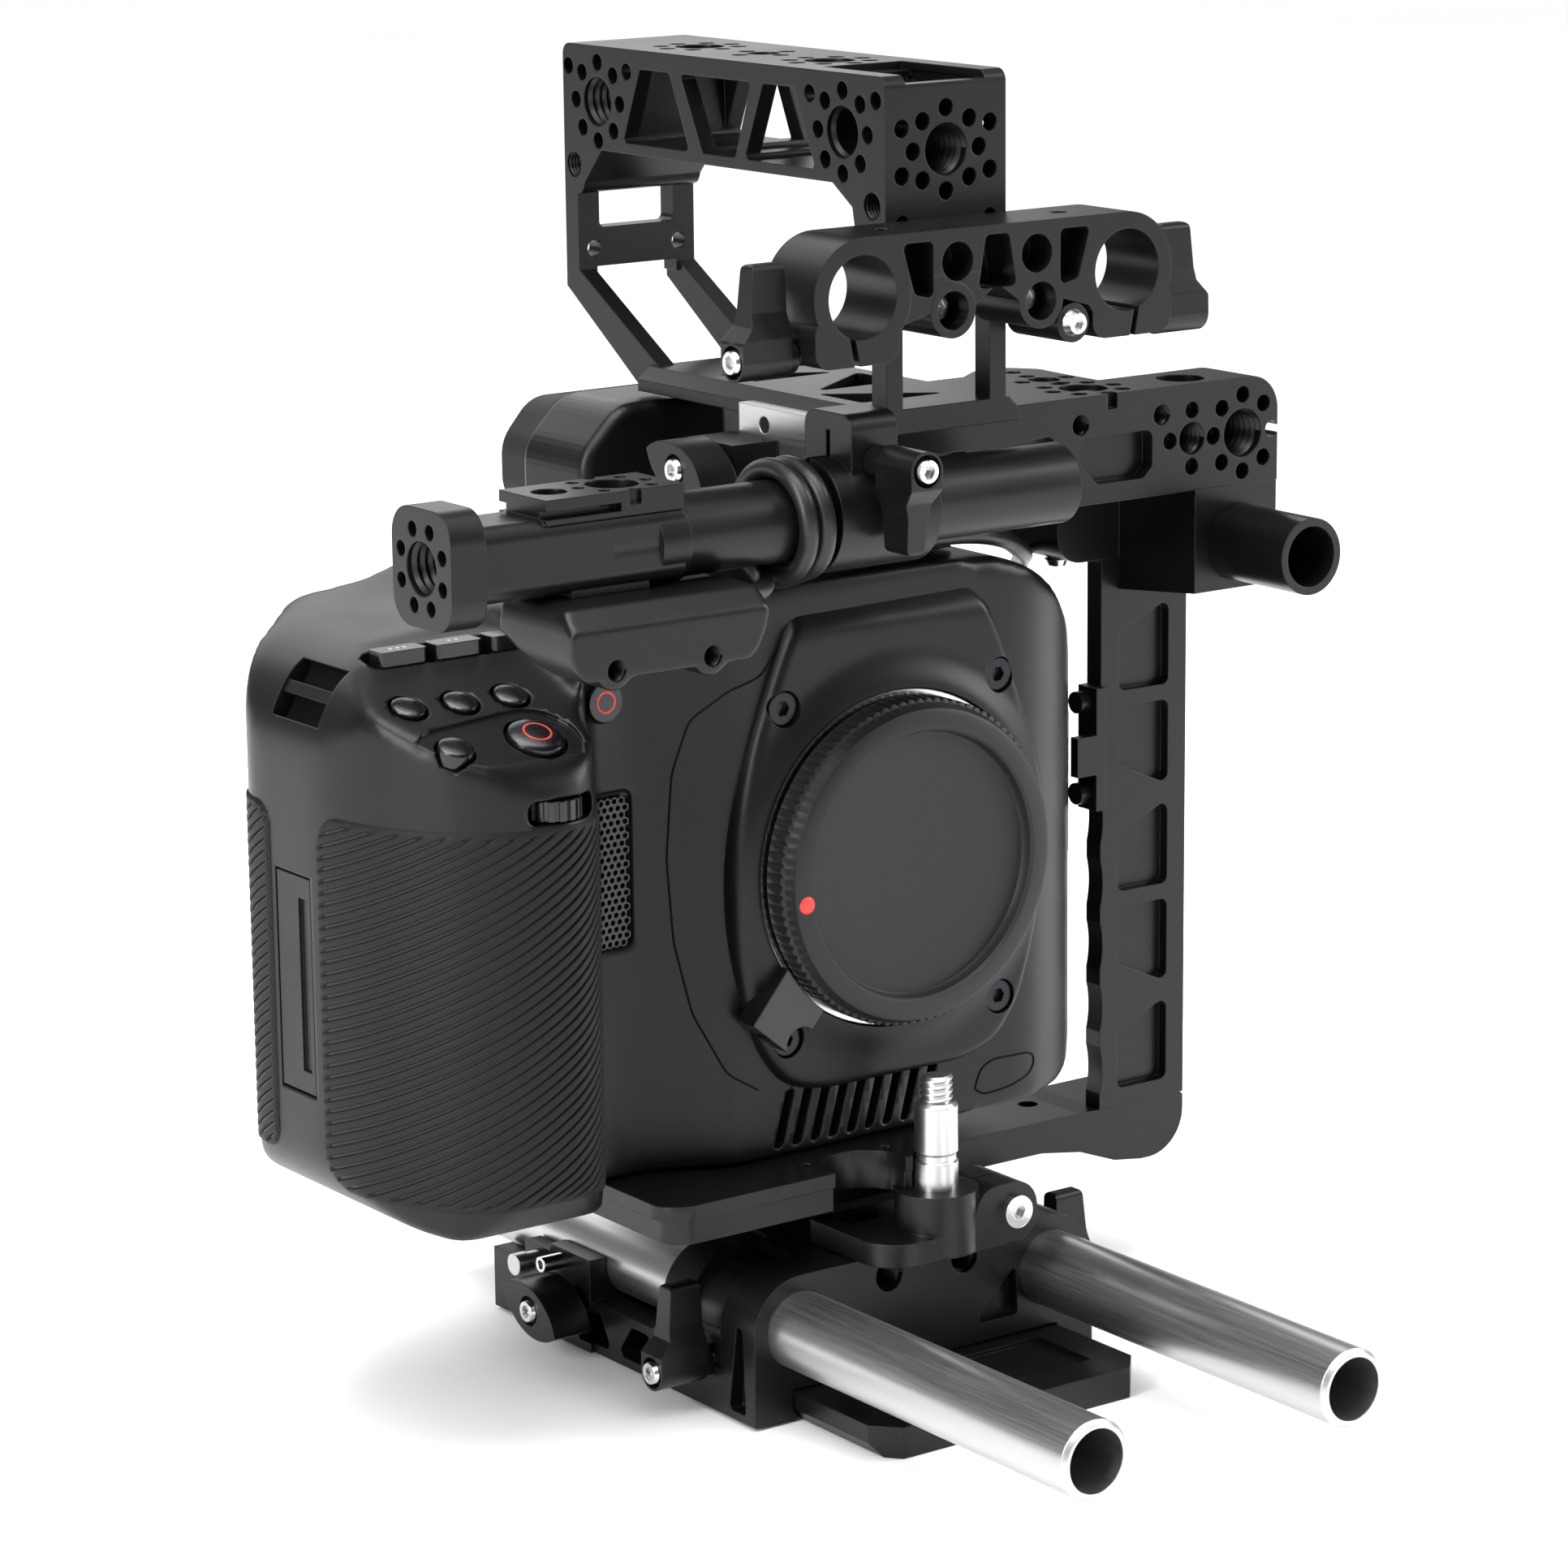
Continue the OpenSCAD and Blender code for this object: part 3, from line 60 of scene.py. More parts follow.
# ---------------------------------------------------------------- camera
AZIMUTH, ELEVATION, ROLL = map(math.radians, (-35.75, 13.06, -0.62))
TARGET = Vector((-5.06, 0, 112.5)) * MM
DISTANCE = 964.9 * MM
back = Vector((math.sin(AZIMUTH) * math.cos(ELEVATION),
               -math.cos(AZIMUTH) * math.cos(ELEVATION), math.sin(ELEVATION)))
camera_data = bpy.data.cameras.new("camera")
camera_data.lens = 115.28
camera_data.sensor_width = 36
camera_data.clip_start = 0.05
camera = bpy.data.objects.new("camera", camera_data)
bpy.context.scene.collection.objects.link(camera)
camera.location = TARGET + back * DISTANCE
camera.rotation_mode = "QUATERNION"
camera.rotation_quaternion = ((-back).to_track_quat("-Z", "Y")
                              @ Matrix.Rotation(ROLL, 4, "Z").to_quaternion())
bpy.context.scene.camera = camera


# ---------------------------------------------------------------- materials
class Nodes:
    """Short way to add nodes to a material and join them."""

    def __init__(self, name, colour):
        self.material = bpy.data.materials.new(name)
        self.material.use_nodes = True
        self.material.diffuse_color = (*colour, 1)
        self.tree = self.material.node_tree
        self.shader = self.tree.nodes["Principled BSDF"]
        self.shader.inputs["Base Color"].default_value = (*colour, 1)
        self.place = self.tree.nodes.new("ShaderNodeTexCoord").outputs["Object"]

    def add(self, kind, inputs=None, **settings):
        node = self.tree.nodes.new("ShaderNode" + kind)
        for key, value in settings.items():
            setattr(node, key, value)
        for key, value in (inputs or {}).items():
            if isinstance(value, bpy.types.NodeSocket):
                self.tree.links.new(value, node.inputs[key])
            else:
                node.inputs[key].default_value = value
        return node

    def link(self, socket, name):
        self.tree.links.new(socket, self.shader.inputs[name])

    def grain(self, size, detail=2.0, stretch=(1, 1, 1), rough=0.5):
        """Noise with features about `size` metres across."""
        scaled = self.add("Mapping", {"Vector": self.place,
                                      "Scale": [s / size for s in stretch]})
        return self.add("TexNoise", {"Vector": scaled.outputs["Vector"], "Scale": 1.0,
                                     "Detail": detail, "Roughness": rough}).outputs["Fac"]

    def between(self, fac, low, high):
        """A value that runs from low to high as fac runs through the noise's middle."""
        return self.add("MapRange", {"Value": fac, "From Min": 0.3, "From Max": 0.7,
                                     "To Min": low, "To Max": high}).outputs["Result"]

    def tint(self, fac, low, high):
        ramp = self.add("ValToRGB", {"Fac": fac})
        ramp.color_ramp.elements[0].position = 0.3
        ramp.color_ramp.elements[1].position = 0.7
        ramp.color_ramp.elements[0].color = (*low, 1)
        ramp.color_ramp.elements[1].color = (*high, 1)
        self.link(ramp.outputs["Color"], "Base Color")

    def bump(self, height, depth, edge=0.00035):
        """Fine relief, on top of edges that catch the light as if broken by `edge` metres."""
        broken = self.add("Bevel", {"Radius": edge}, samples=4)
        bumped = self.add("Bump", {"Height": height, "Distance": depth, "Strength": 1.0,
                                   "Normal": broken.outputs["Normal"]})
        self.link(bumped.outputs["Normal"], "Normal")


def finish_with(name, dark, light, rough, metal=0.0, grain=0.0006, depth=0.00003, specular=0.5,
                patch=0.03, coat=0.0):
    """A material with fine grain in its bump, and slow changes in its colour and gloss."""
    m = Nodes(name, light)
    slow, fine = m.grain(patch, 3.0), m.grain(grain, 2.0)
    m.tint(slow, dark, light)
    m.link(m.between(slow, rough - 0.04, rough + 0.04), "Roughness")
    m.bump(fine, depth)
    m.shader.inputs["Metallic"].default_value = metal
    m.shader.inputs["Specular IOR Level"].default_value = specular
    m.shader.inputs["Coat Weight"].default_value = coat
    return m.material


def brushed(name, dark, light, rough, along):
    """Turned or drawn bright metal: streaks that run along one axis."""
    m = Nodes(name, light)
    stretch = [0.02 if i == along else 1 for i in range(3)]
    streaks, slow = m.grain(0.0004, 3.0, stretch), m.grain(0.012, 2.0, stretch)
    m.tint(slow, dark, light)
    m.link(m.between(streaks, rough - 0.03, rough + 0.04), "Roughness")
    m.bump(streaks, 0.000003)
    m.shader.inputs["Metallic"].default_value = 1.0
    return m.material


anodised = finish_with("black_anodised", (0.0026, 0.0026, 0.0033), (0.0038, 0.0038, 0.0047), 0.33,
                       grain=0.0003, depth=0.000005, specular=0.32)
housing = finish_with("camera_housing", (0.003, 0.0031, 0.004), (0.0042, 0.0043, 0.0054), 0.36,
                      grain=0.0004, depth=0.000006, specular=0.27)
rubber = finish_with("grip_rubber", (0.006, 0.0061, 0.0073), (0.008, 0.0082, 0.0098), 0.55,
                     grain=0.0007, depth=0.00001, specular=0.2)
keys = finish_with("key_plastic", (0.0035, 0.0035, 0.0043), (0.005, 0.005, 0.006), 0.2, specular=0.5)
cap_plastic = finish_with("cap_plastic", (0.0105, 0.0108, 0.0128), (0.013, 0.0134, 0.0158), 0.45,
                          grain=0.0003, depth=0.00001, specular=0.3)
sheath = finish_with("lead_sheath", (0.006, 0.006, 0.007), (0.009, 0.009, 0.0105), 0.38,
                     specular=0.45)
eyecup = finish_with("eyecup_rubber", (0.007, 0.007, 0.0085), (0.01, 0.01, 0.012), 0.6,
                     specular=0.3)
glass = finish_with("screen_glass", (0.003, 0.003, 0.004), (0.004, 0.004, 0.005), 0.06,
                    depth=0.0, coat=0.5)
board = finish_with("circuit_board", (0.01, 0.06, 0.03), (0.015, 0.08, 0.04), 0.4)
black_steel = finish_with("black_screws", (0.02, 0.02, 0.023), (0.03, 0.03, 0.034), 0.3, metal=0.8)
red_paint = finish_with("red_marks", (0.55, 0.03, 0.02), (0.62, 0.04, 0.025), 0.35)
steel_y = brushed("bright_steel", (0.53, 0.52, 0.51), (0.6, 0.59, 0.58), 0.34, 1)
steel_z = brushed("bright_steel_post", (0.53, 0.52, 0.51), (0.6, 0.59, 0.58), 0.3, 2)
mount_metal = brushed("mount_steel", (0.6, 0.6, 0.61), (0.74, 0.74, 0.75), 0.2, 1)
chrome = finish_with("bright_screws", (0.62, 0.62, 0.63), (0.75, 0.75, 0.76), 0.16, metal=1.0,
                     depth=0.000005)

BY_SLOT = {"black_anodised": anodised, "camera_housing": housing, "grip_rubber": rubber,
           "bright_steel": steel_y, "bright_screws": chrome, "black_screws": black_steel,
           "mount_steel": mount_metal, "cap_plastic": cap_plastic, "key_plastic": keys,
           "lead_sheath": sheath, "screen_glass": glass, "circuit_board": board,
           "eyecup_rubber": eyecup}
for part in frame["record"]["subparts"]:
    look = BY_SLOT[part["material_slot"]]
    if part["node"] == "lens_post":
        look = steel_z
    mesh = nodes[part["node"]].data
    mesh.materials.clear()
    mesh.materials.append(look)


def broken_edges(node, width, segments=3):
    """Rounds a CAD piece's sharp edges, as the real piece's are."""
    piece = nodes[node]
    weld = piece.modifiers.new("weld", "WELD")
    weld.merge_threshold = 0.000002
    plain = piece.modifiers.new("plain", "DECIMATE")
    plain.decimate_type, plain.angle_limit = "DISSOLVE", math.radians(0.5)
    bevel = piece.modifiers.new("bevel", "BEVEL")
    bevel.width, bevel.segments, bevel.limit_method = width * MM, segments, "ANGLE"
    bevel.angle_limit = math.radians(35)
    bevel.use_clamp_overlap = True
    bevel.harden_normals = True


for node, width in (("viewfinder_body", 2.2), ("camera_plate", 0.8), ("release_button", 0.7)):
    broken_edges(node, width)

# ---------------------------------------------------------------- floor and light
def make_floor():
    mesh = bpy.data.meshes.new("floor")
    size = 6.0
    mesh.from_pydata([(-size, -size, 0), (size, -size, 0), (size, size, 0), (-size, size, 0)], [],
                     [(0, 1, 2, 3)])
    floor = bpy.data.objects.new("floor", mesh)
    floor.location.z = -0.0002
    bpy.context.scene.collection.objects.link(floor)
    paper = finish_with("floor_paper", (0.86, 0.86, 0.87), (0.9, 0.9, 0.9), 0.8, depth=0.0,
                        patch=0.5, specular=0.1)
    mesh.materials.append(paper)


def area_light(name, place, size, power, target=(0, 0, 0.1)):
    data = bpy.data.lights.new(name, "AREA")
    data.shape = "RECTANGLE"
    data.size, data.size_y = size
    data.energy = power
    lamp = bpy.data.objects.new(name, data)
    lamp.location = place
    lamp.rotation_euler = (Vector(target) - Vector(place)).to_track_quat("-Z", "Y").to_euler()
    bpy.context.scene.collection.objects.link(lamp)


make_floor()
area_light("top_box", (-0.2, -0.2, 1.5), (1.0, 1.0), 16)
area_light("left_box", (-1.4, -0.3, 0.7), (0.5, 1.1), 22)
area_light("right_box", (1.3, -0.7, 0.7), (0.4, 1.1), 16)
area_light("back_box", (0.3, 1.4, 0.9), (1.6, 0.9), 8)
sky = bpy.data.lights.new("even_light", "SUN")
sky.energy, sky.angle = 2.95, math.radians(80)
sky_lamp = bpy.data.objects.new("even_light", sky)
sky_lamp.rotation_euler = (math.radians(12), math.radians(-8), 0)
bpy.context.scene.collection.objects.link(sky_lamp)
world = bpy.data.worlds.new("studio")
world.use_nodes = True
world.node_tree.nodes["Background"].inputs["Color"].default_value = (0.95, 0.96, 1.0, 1)
world.node_tree.nodes["Background"].inputs["Strength"].default_value = 0.24
bpy.context.scene.world = world
bpy.context.scene.view_settings.view_transform = "Standard"

# ---------------------------------------------------------------- mesh helpers
def new_object(name, bm, material, smooth=40):
    mesh = bpy.data.meshes.new(name)
    bm.to_mesh(mesh)
    bm.free()
    if smooth:
        mesh.shade_smooth()
        mesh.set_sharp_from_angle(angle=math.radians(smooth))
    if material:
        mesh.materials.append(material)
    piece = bpy.data.objects.new(name, mesh)
    bpy.context.scene.collection.objects.link(piece)
    return piece


def applied(piece):
    """The piece's mesh with its modifiers worked in, as the piece's own mesh."""
    graph = bpy.context.evaluated_depsgraph_get()
    mesh = bpy.data.meshes.new_from_object(piece.evaluated_get(graph))
    piece.modifiers.clear()
    piece.data = mesh
    return piece


def prism(outline, axis, low, high):
    """Straight solid from an outline in millimetres: axis 0 takes (y, z), 1 takes (x, z), 2 (x, y)."""
    bm = bmesh.new()
    rows = []
    for along in (low, high):
        rows.append([bm.verts.new(Vector({0: (along, p, q), 1: (p, along, q), 2: (p, q, along)}[axis])
                                  * MM) for p, q in outline])
    bm.faces.new(rows[0])
    bm.faces.new(rows[1])
    for i in range(len(outline)):
        j = (i + 1) % len(outline)
        bm.faces.new((rows[0][i], rows[0][j], rows[1][j], rows[1][i]))
    bmesh.ops.recalc_face_normals(bm, faces=bm.faces)
    return new_object("tool", bm, None, smooth=0)


def combine(piece, tool, how, material=None):
    """Joins, cuts or keeps by another solid, whose material its own faces take along."""
    if material:
        tool.data.materials.append(material)
    cut = piece.modifiers.new("cut", "BOOLEAN")
    cut.operation, cut.object, cut.solver = how, tool, "EXACT"
    cut.material_mode = "TRANSFER" if material else "INDEX"
    applied(piece)
    bpy.data.objects.remove(tool)
    return piece


def round_corners(outline, radius, steps=4):
    """The outline with each corner turned into a short curve of about that radius."""
    done = []
    for i, p in enumerate(outline):
        before, here, after = Vector(outline[i - 1]), Vector(p), Vector(outline[(i + 1) % len(outline)])
        reach = min(radius, (before - here).length * 0.45, (after - here).length * 0.45)
        a, b = here + (before - here).normalized() * reach, here + (after - here).normalized() * reach
        for k in range(steps + 1):
            t = k / steps
            done.append(tuple(a * (1 - t) ** 2 + here * (2 * t * (1 - t)) + b * t * t))
    return done


# ---------------------------------------------------------------- camera body
BODY_PLAN = [(67, 11), (67, 44), (59, 50), (-84, 50), (-96, 35), (-112, 22), (-112, -8), (-108.6, -22),
             (-101, -34), (-91, -40.5), (-79, -41.2), (-71.5, -36), (-68, -26), (-63, -19), (-52, -18.2),
             (-43, -22), (-36, -26), (36, -25), (45, -20.6), (52, -15.4), (57.5, -9.6), (61.5, -4),
             (64.6, 2), (66.4, 7)]
BODY_FRONT = [(-104, 47.5), (54, 47.5), (63, 54), (67, 66), (67, 110), (62, 128), (54, 141), (42, 151),
              (30, 156.5), (16, 157.5), (-40, 157.5), (-58, 156.4), (-70, 152.6), (-96, 151.6),
              (-106, 148), (-112, 138), (-112, 55)]
GRIP_SIDE = [(-60, 40), (60, 40), (60, 160), (16, 160), (4, 151.5), (-4, 150), (-20, 143), (-34, 136.8),
             (-38, 134), (-41, 130), (-42, 60), (-37, 51), (-30, 45)]


def camera_body():
    solid = prism(round_corners(BODY_PLAN, 7), 2, 47.5, 157.5)
    combine(solid, prism(round_corners(BODY_FRONT, 9), 1, -60, 60), "INTERSECT")
    keep = prism(round_corners(GRIP_SIDE, 5), 0, -120, -66)
    combine(keep, prism([(-66.2, 40), (80, 40), (80, 160), (-66.2, 160)], 1, -60, 60), "UNION")
    combine(solid, keep, "INTERSECT")
    remesh = solid.modifiers.new("remesh", "REMESH")
    remesh.mode, remesh.voxel_size = "VOXEL", 1.2 * MM
    ease = solid.modifiers.new("ease", "SMOOTH")
    ease.factor, ease.iterations = 0.5, 14
    applied(solid)
    solid.name = "camera_body"
    solid.data.materials.append(housing)
    solid.data.shade_smooth()
    return solid


def surface_of(piece):
    return BVHTree.FromObject(piece, bpy.context.evaluated_depsgraph_get())


def on_surface(tree, start, way):
    """Where a ray from outside meets the body, and the body's normal there."""
    hit, normal, _, _ = tree.ray_cast(start, way)
    if hit is None:
        hit, normal, _, _ = tree.find_nearest(start)
    return hit, normal


def smoothstep(t):
    t = max(0.0, min(1.0, t))
    return t * t * (3 - 2 * t)


def dent(body, inside, depth, material=None):
    """Pushes the body's surface in by depth where inside(point) is 1; 0 is outside."""
    if material is not None:
        body.data.materials.append(material)
    mesh = body.data
    normals = [v.normal.copy() for v in mesh.vertices]
    share = [inside(v.co / MM) for v in mesh.vertices]
    for v, n, t in zip(mesh.vertices, normals, share):
        if t > 0:
            v.co -= n * depth * t
    if material is not None:
        for face in mesh.polygons:
            if all(share[i] > 0.5 for i in face.vertices):
                face.material_index = len(mesh.materials) - 1


SLOPE = math.atan(7 / 16)


def slope_point(x, y, up=0.0):
    """A point `up` above the sloping top of the grip, in millimetres."""
    z = 150 - (-4 - y) * 7 / 16
    return Vector((x, y - math.sin(SLOPE) * up, z + math.cos(SLOPE) * up))


def in_box(p, low, high, edge=1.0):
    """1 inside a box, falling to 0 over its edge."""
    return min(smoothstep((v - a) / edge + 0.5) * smoothstep((b - v) / edge + 0.5)
               for v, a, b in zip(p, low, high))


body = camera_body()
plain_surface = surface_of(body)
field = finish_with("record_field", (0.006, 0.006, 0.0075), (0.008, 0.008, 0.0095), 0.22,
                    specular=0.4)
# Near-black used as painted shade in recesses, button wells, holes and rib grooves; the seam lines use it
# too, as dark joints.
shade_and_seam_black = finish_with("deep_black", (0.0015, 0.0015, 0.0018), (0.002, 0.002, 0.0024), 0.7,
                     specular=0.1)
# Painted shade: the dented recess behind the left grille takes the near-black.
dent(body, lambda p: in_box(p, (-65.4, -40, 92.4), (-53.4, -8, 121.4)), 0.9 * MM, shade_and_seam_black)


def rectangle(low_p, high_p, radius):
    """A rectangle with rounded corners, from two opposite corners."""
    return round_corners([low_p, (high_p[0], low_p[1]), high_p, (low_p[0], high_p[1])], radius)




def sink(outline, depth, material):
    """Cuts an outline, given as (x, y) from above, into the sloping top of the grip."""
    tool = prism([(x, (y + 4) / math.cos(SLOPE)) for x, y in outline], 2, -depth, 12)
    tool.data.transform(Matrix.Translation(slope_point(0, -4) * MM) @ Matrix.Rotation(SLOPE, 4, "X"))
    combine(body, tool, "DIFFERENCE", material)


def circle(x, y, r, steps=40):
    return [(x + r * math.cos(2 * math.pi * k / steps), y + r * math.sin(2 * math.pi * k / steps))
            for k in range(steps)]


STILLS, RECORD = (-98.5, -31.4), (-81.5, -31.2)
BUTTONS = (("button_balance", (-100.5, -19), 3.2, 1.0, "balance"),
           ("button_shutter", (-90, -19.6), 3.2, 1.0, "shutter"),
           ("button_gain", (-79.5, -19.8), 3.2, 1.0, "gain"),
           ("stills_button", STILLS, 3.3, 0.9, "stills"), ("record_button", RECORD, 5.3, 1.0, "record"))
field_edge = [(STILLS[0] + 7 * math.cos(a), STILLS[1] + 6.2 * math.sin(a))
              for a in (math.pi * (0.5 + k / 12) for k in range(13))]
field_edge += [(RECORD[0] + 8.5 * math.cos(a), RECORD[1] + 7.8 * math.sin(a))
               for a in (math.pi * (-0.5 + k / 12) for k in range(13))]
sink(field_edge, 0.7, field)
# Painted shade: the wells round the buttons are cut with near-black walls.
for node, at, r, up, body_name in BUTTONS:
    sink(circle(*at, r + 0.45), 2.4, shade_and_seam_black)
# Painted shade: the front record hole's walls take the near-black.
combine(body, prism(circle(-60.4, 139.6, 3.9), 1, -40, -17), "DIFFERENCE", shade_and_seam_black)
combine(body, prism(rectangle((-89.5, 124), (-74.5, 128.6), 2.2), 1, -46, -30.4), "DIFFERENCE")
combine(body, prism(rectangle((-112.6, -2.4), (-109.6, 10), 1.2), 2, 69.6, 110.9), "DIFFERENCE")
LUG_AT, LUG_TURN, LUG_HALF = Vector((-108.1, 144)), Matrix.Rotation(math.radians(57), 2), (5.8, 3.5)
lug_window = [tuple(LUG_AT + LUG_TURN @ Vector((u * LUG_HALF[0], v * LUG_HALF[1])))
              for u, v in ((-1, -1), (1, -1), (1, 1), (-1, 1))]
# Painted shade: the strap lug window's walls take the near-black.
combine(body, prism(round_corners(lug_window, 1.5), 1, -5, 11), "DIFFERENCE", shade_and_seam_black)
key_slot = [(-100.6, -7.6), (-62.8, -7.6), (-62.8, -1.2), (-100.6, -1.2)]
combine(body, prism(round_corners(key_slot, 3), 2, 145.4, 160), "DIFFERENCE")
for i in range(9):
    x = -27 + 4.3 * i
    slot = [(x, 49.6), (x + 2.2, 49.6), (x + 5.2, 60.6), (x + 3, 60.6)]
    combine(body, prism(round_corners(slot, 0.9), 1, -30, -21), "DIFFERENCE")
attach(body, "rig")
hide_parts("camera_front_shell", "camera_rear_shell")


def disc(name, profile, material, steps=64, shape=None):
    """Turned piece round +Z: profile of (radius, height) in millimetres from its middle out."""
    bm = bmesh.new()
    rows = []
    for r, h in profile:
        if r < 1e-6:
            rows.append([bm.verts.new((0, 0, h * MM))])
            continue
        ring = []
        for k in range(steps):
            a = 2 * math.pi * k / steps
            rr = shape(r, h, a) if shape else r
            ring.append(bm.verts.new((rr * math.cos(a) * MM, rr * math.sin(a) * MM, h * MM)))
        rows.append(ring)
    for one, two in zip(rows, rows[1:]):
        for k in range(steps):
            j = (k + 1) % steps
            if len(one) == 1:
                bm.faces.new((one[0], two[k], two[j]))
            elif len(two) == 1:
                bm.faces.new((one[k], two[0], one[j]))
            else:
                bm.faces.new((one[k], two[k], two[j], one[j]))
    bmesh.ops.recalc_face_normals(bm, faces=bm.faces)
    return new_object(name, bm, material, smooth=35)


def put(piece, place, axis, body_name):
    """Turns the piece's +Z to axis, moves it to place in millimetres and lets it ride."""
    turn = Vector(axis).to_track_quat("Z", "Y").to_matrix().to_4x4()
    piece.data.transform(Matrix.Translation(Vector(place) * MM) @ turn)
    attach(piece, body_name)
    return piece


def ring_tube(name, radius, thick, place, axis, material, body_name, flat=1.0):
    """A thin ring that lies on a surface."""
    profile = [(radius + thick * math.cos(a), flat * thick * math.sin(a))
               for a in (2 * math.pi * k / 8 for k in range(9))]
    return put(disc(name, profile, material, 48), place, axis, body_name)


UP_SLOPE = (0, -math.sin(SLOPE), math.cos(SLOPE))
# buttons with domed tops
for node, at, r, up, body_name in BUTTONS:
    profile = [(0, up)] + [(r * math.sin(a), up - 0.22 * r * (1 - math.cos(a)))
                           for a in (math.pi / 2 * k / 7 for k in range(1, 7))]
    profile += [(r, up - 0.24 * r - 0.3), (r, -3.4), (0, -3.4)]
    cap = put(disc(node + "_cap", profile, keys), slope_point(*at), UP_SLOPE, body_name)
    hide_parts(node)
ring_tube("record_ring", 2.5, 0.26, slope_point(-81.5, -31.2, 0.78), UP_SLOPE, red_paint, "record", 0.6)
ring_tube("front_record_ring", 1.9, 0.22, (-60.4, -22.0, 139.6), (0, -1, 0), red_paint,
          "front_record", 0.6)
# Painted shade: a near-black ring laid round the mouth of the front record hole.
ring_tube("front_record_rim", 3.9, 0.35, (-60.4, -20.4, 139.6), (0, -1, 0), shade_and_seam_black, "rig")
grey_paint = finish_with("pale_marks", (0.3, 0.3, 0.31), (0.36, 0.36, 0.37), 0.45)
for node, body_name, x, dots in (("function_key_3", "key_3", -93.5, 3), ("function_key_2", "key_2",
                                 -81.8, 2), ("function_key_1", "key_1", -70, 1)):
    for k in range(dots):
        dot = disc(f"{node}_dot_{k}", [(0, 0.12), (0.3, 0.1), (0.42, 0)], grey_paint, 16)
        put(dot, (x + 1.5 * (k - (dots - 1) / 2), -4.4, 151.2), (0, 0, 1), body_name)


# ---------------------------------------------------------------- rubber on the grip
def path_points(corners, step):
    """Points every `step` along an outline with rounded corners, with the way out of the body."""
    soft = corners
    for _ in range(3):
        soft = [corners[0]] + [q for a, b in zip(soft, soft[1:]) for q in (
            (a[0] * 0.75 + b[0] * 0.25, a[1] * 0.75 + b[1] * 0.25),
            (a[0] * 0.25 + b[0] * 0.75, a[1] * 0.25 + b[1] * 0.75))] + [corners[-1]]
    line = [Vector(p) for p in soft]
    lengths = [0.0]
    for a, b in zip(line, line[1:]):
        lengths.append(lengths[-1] + (b - a).length)
    points, i, count = [], 0, int(lengths[-1] / step)
    for k in range(count + 1):
        s = lengths[-1] * k / count
        while i < len(line) - 2 and lengths[i + 1] < s:
            i += 1
        span = max(lengths[i + 1] - lengths[i], 1e-9)
        p = line[i].lerp(line[i + 1], (s - lengths[i]) / span)
        along = (line[i + 1] - line[i]).normalized()
        points.append((s, p, Vector((along.y, -along.x))))
    return points, lengths[-1]


RIB_PITCH = 2.15
RIB_SHAPE = ((0.0, 0.0), (0.2, 0.05), (0.42, 0.05), (0.62, 0.0), (0.7, -0.55), (0.92, -0.55))


def rubber_panel(name, corners, low, high, radius, slope_low, slope_high, step):
    """Sheet that follows the body between two heights; its rows follow slanted ribs and grooves, and the
    faces deep in the grooves are painted near-black as shade.
    """
    points, length = path_points(corners, step)

    def rise(s):
        return slope_low * s + (slope_high - slope_low) * s * s / (2 * length)

    first, last = int(-rise(length) / RIB_PITCH) - 1, int((high - low) / RIB_PITCH) + 1
    shape = [(n + part, height) for n in range(first, last + 1) for part, height in RIB_SHAPE]
    bm = bmesh.new()
    grid, groove_shade_verts = [], set()
    for s, p, out in points:
        column = []
        for wave, relief in shape:
            z = max(low, min(high, low + rise(s) + wave * RIB_PITCH))
            start = Vector((p.x + out.x * -9, p.y + out.y * -9, z)) * MM
            hit, normal = on_surface(plain_surface, start, Vector((out.x, out.y, 0)))
            dx, dz = min(s, length - s), min(z - low, high - z)
            edge = radius - math.hypot(radius - dx, radius - dz) if dx < radius and dz < radius \
                else min(dx, dz)
            height = -0.7 + 1.15 * smoothstep(edge / 0.8) + relief * smoothstep((edge - 1.4) / 0.5)
            column.append(bm.verts.new(hit + normal * height * MM))
            # Vertices deep in a groove: faces made only of these take painted shade.
            if relief < -0.5 and edge > 1.7:
                groove_shade_verts.add(column[-1])
        grid.append(column)
    for a, b in zip(grid, grid[1:]):
        for k in range(len(shape) - 1):
            face = bm.faces.new((a[k], a[k + 1], b[k + 1], b[k]))
            face.material_index = int(all(v in groove_shade_verts for v in face.verts))
    bmesh.ops.remove_doubles(bm, verts=bm.verts, dist=0.00002)
    bmesh.ops.recalc_face_normals(bm, faces=bm.faces)
    panel = new_object(name, bm, rubber, smooth=60)
    panel.data.materials.append(shade_and_seam_black)
    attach(panel, "rig")
    return panel


fine = 0.8
front_rubber = rubber_panel("grip_rubber_front", [(-112, -4.5), (-112, -8), (-108.6, -22), (-101, -34),
                            (-91, -40.5), (-79, -41.2), (-71.5, -36), (-69, -27)], 53, 124, 7, 0.3,
                            0.75, fine)
side_rubber = rubber_panel("grip_rubber_side", [(-101, 31.5), (-112, 22), (-112, 11.2)], 56, 123, 5, 0.5,
                           0.6, fine)
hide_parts("grip_rubbers")


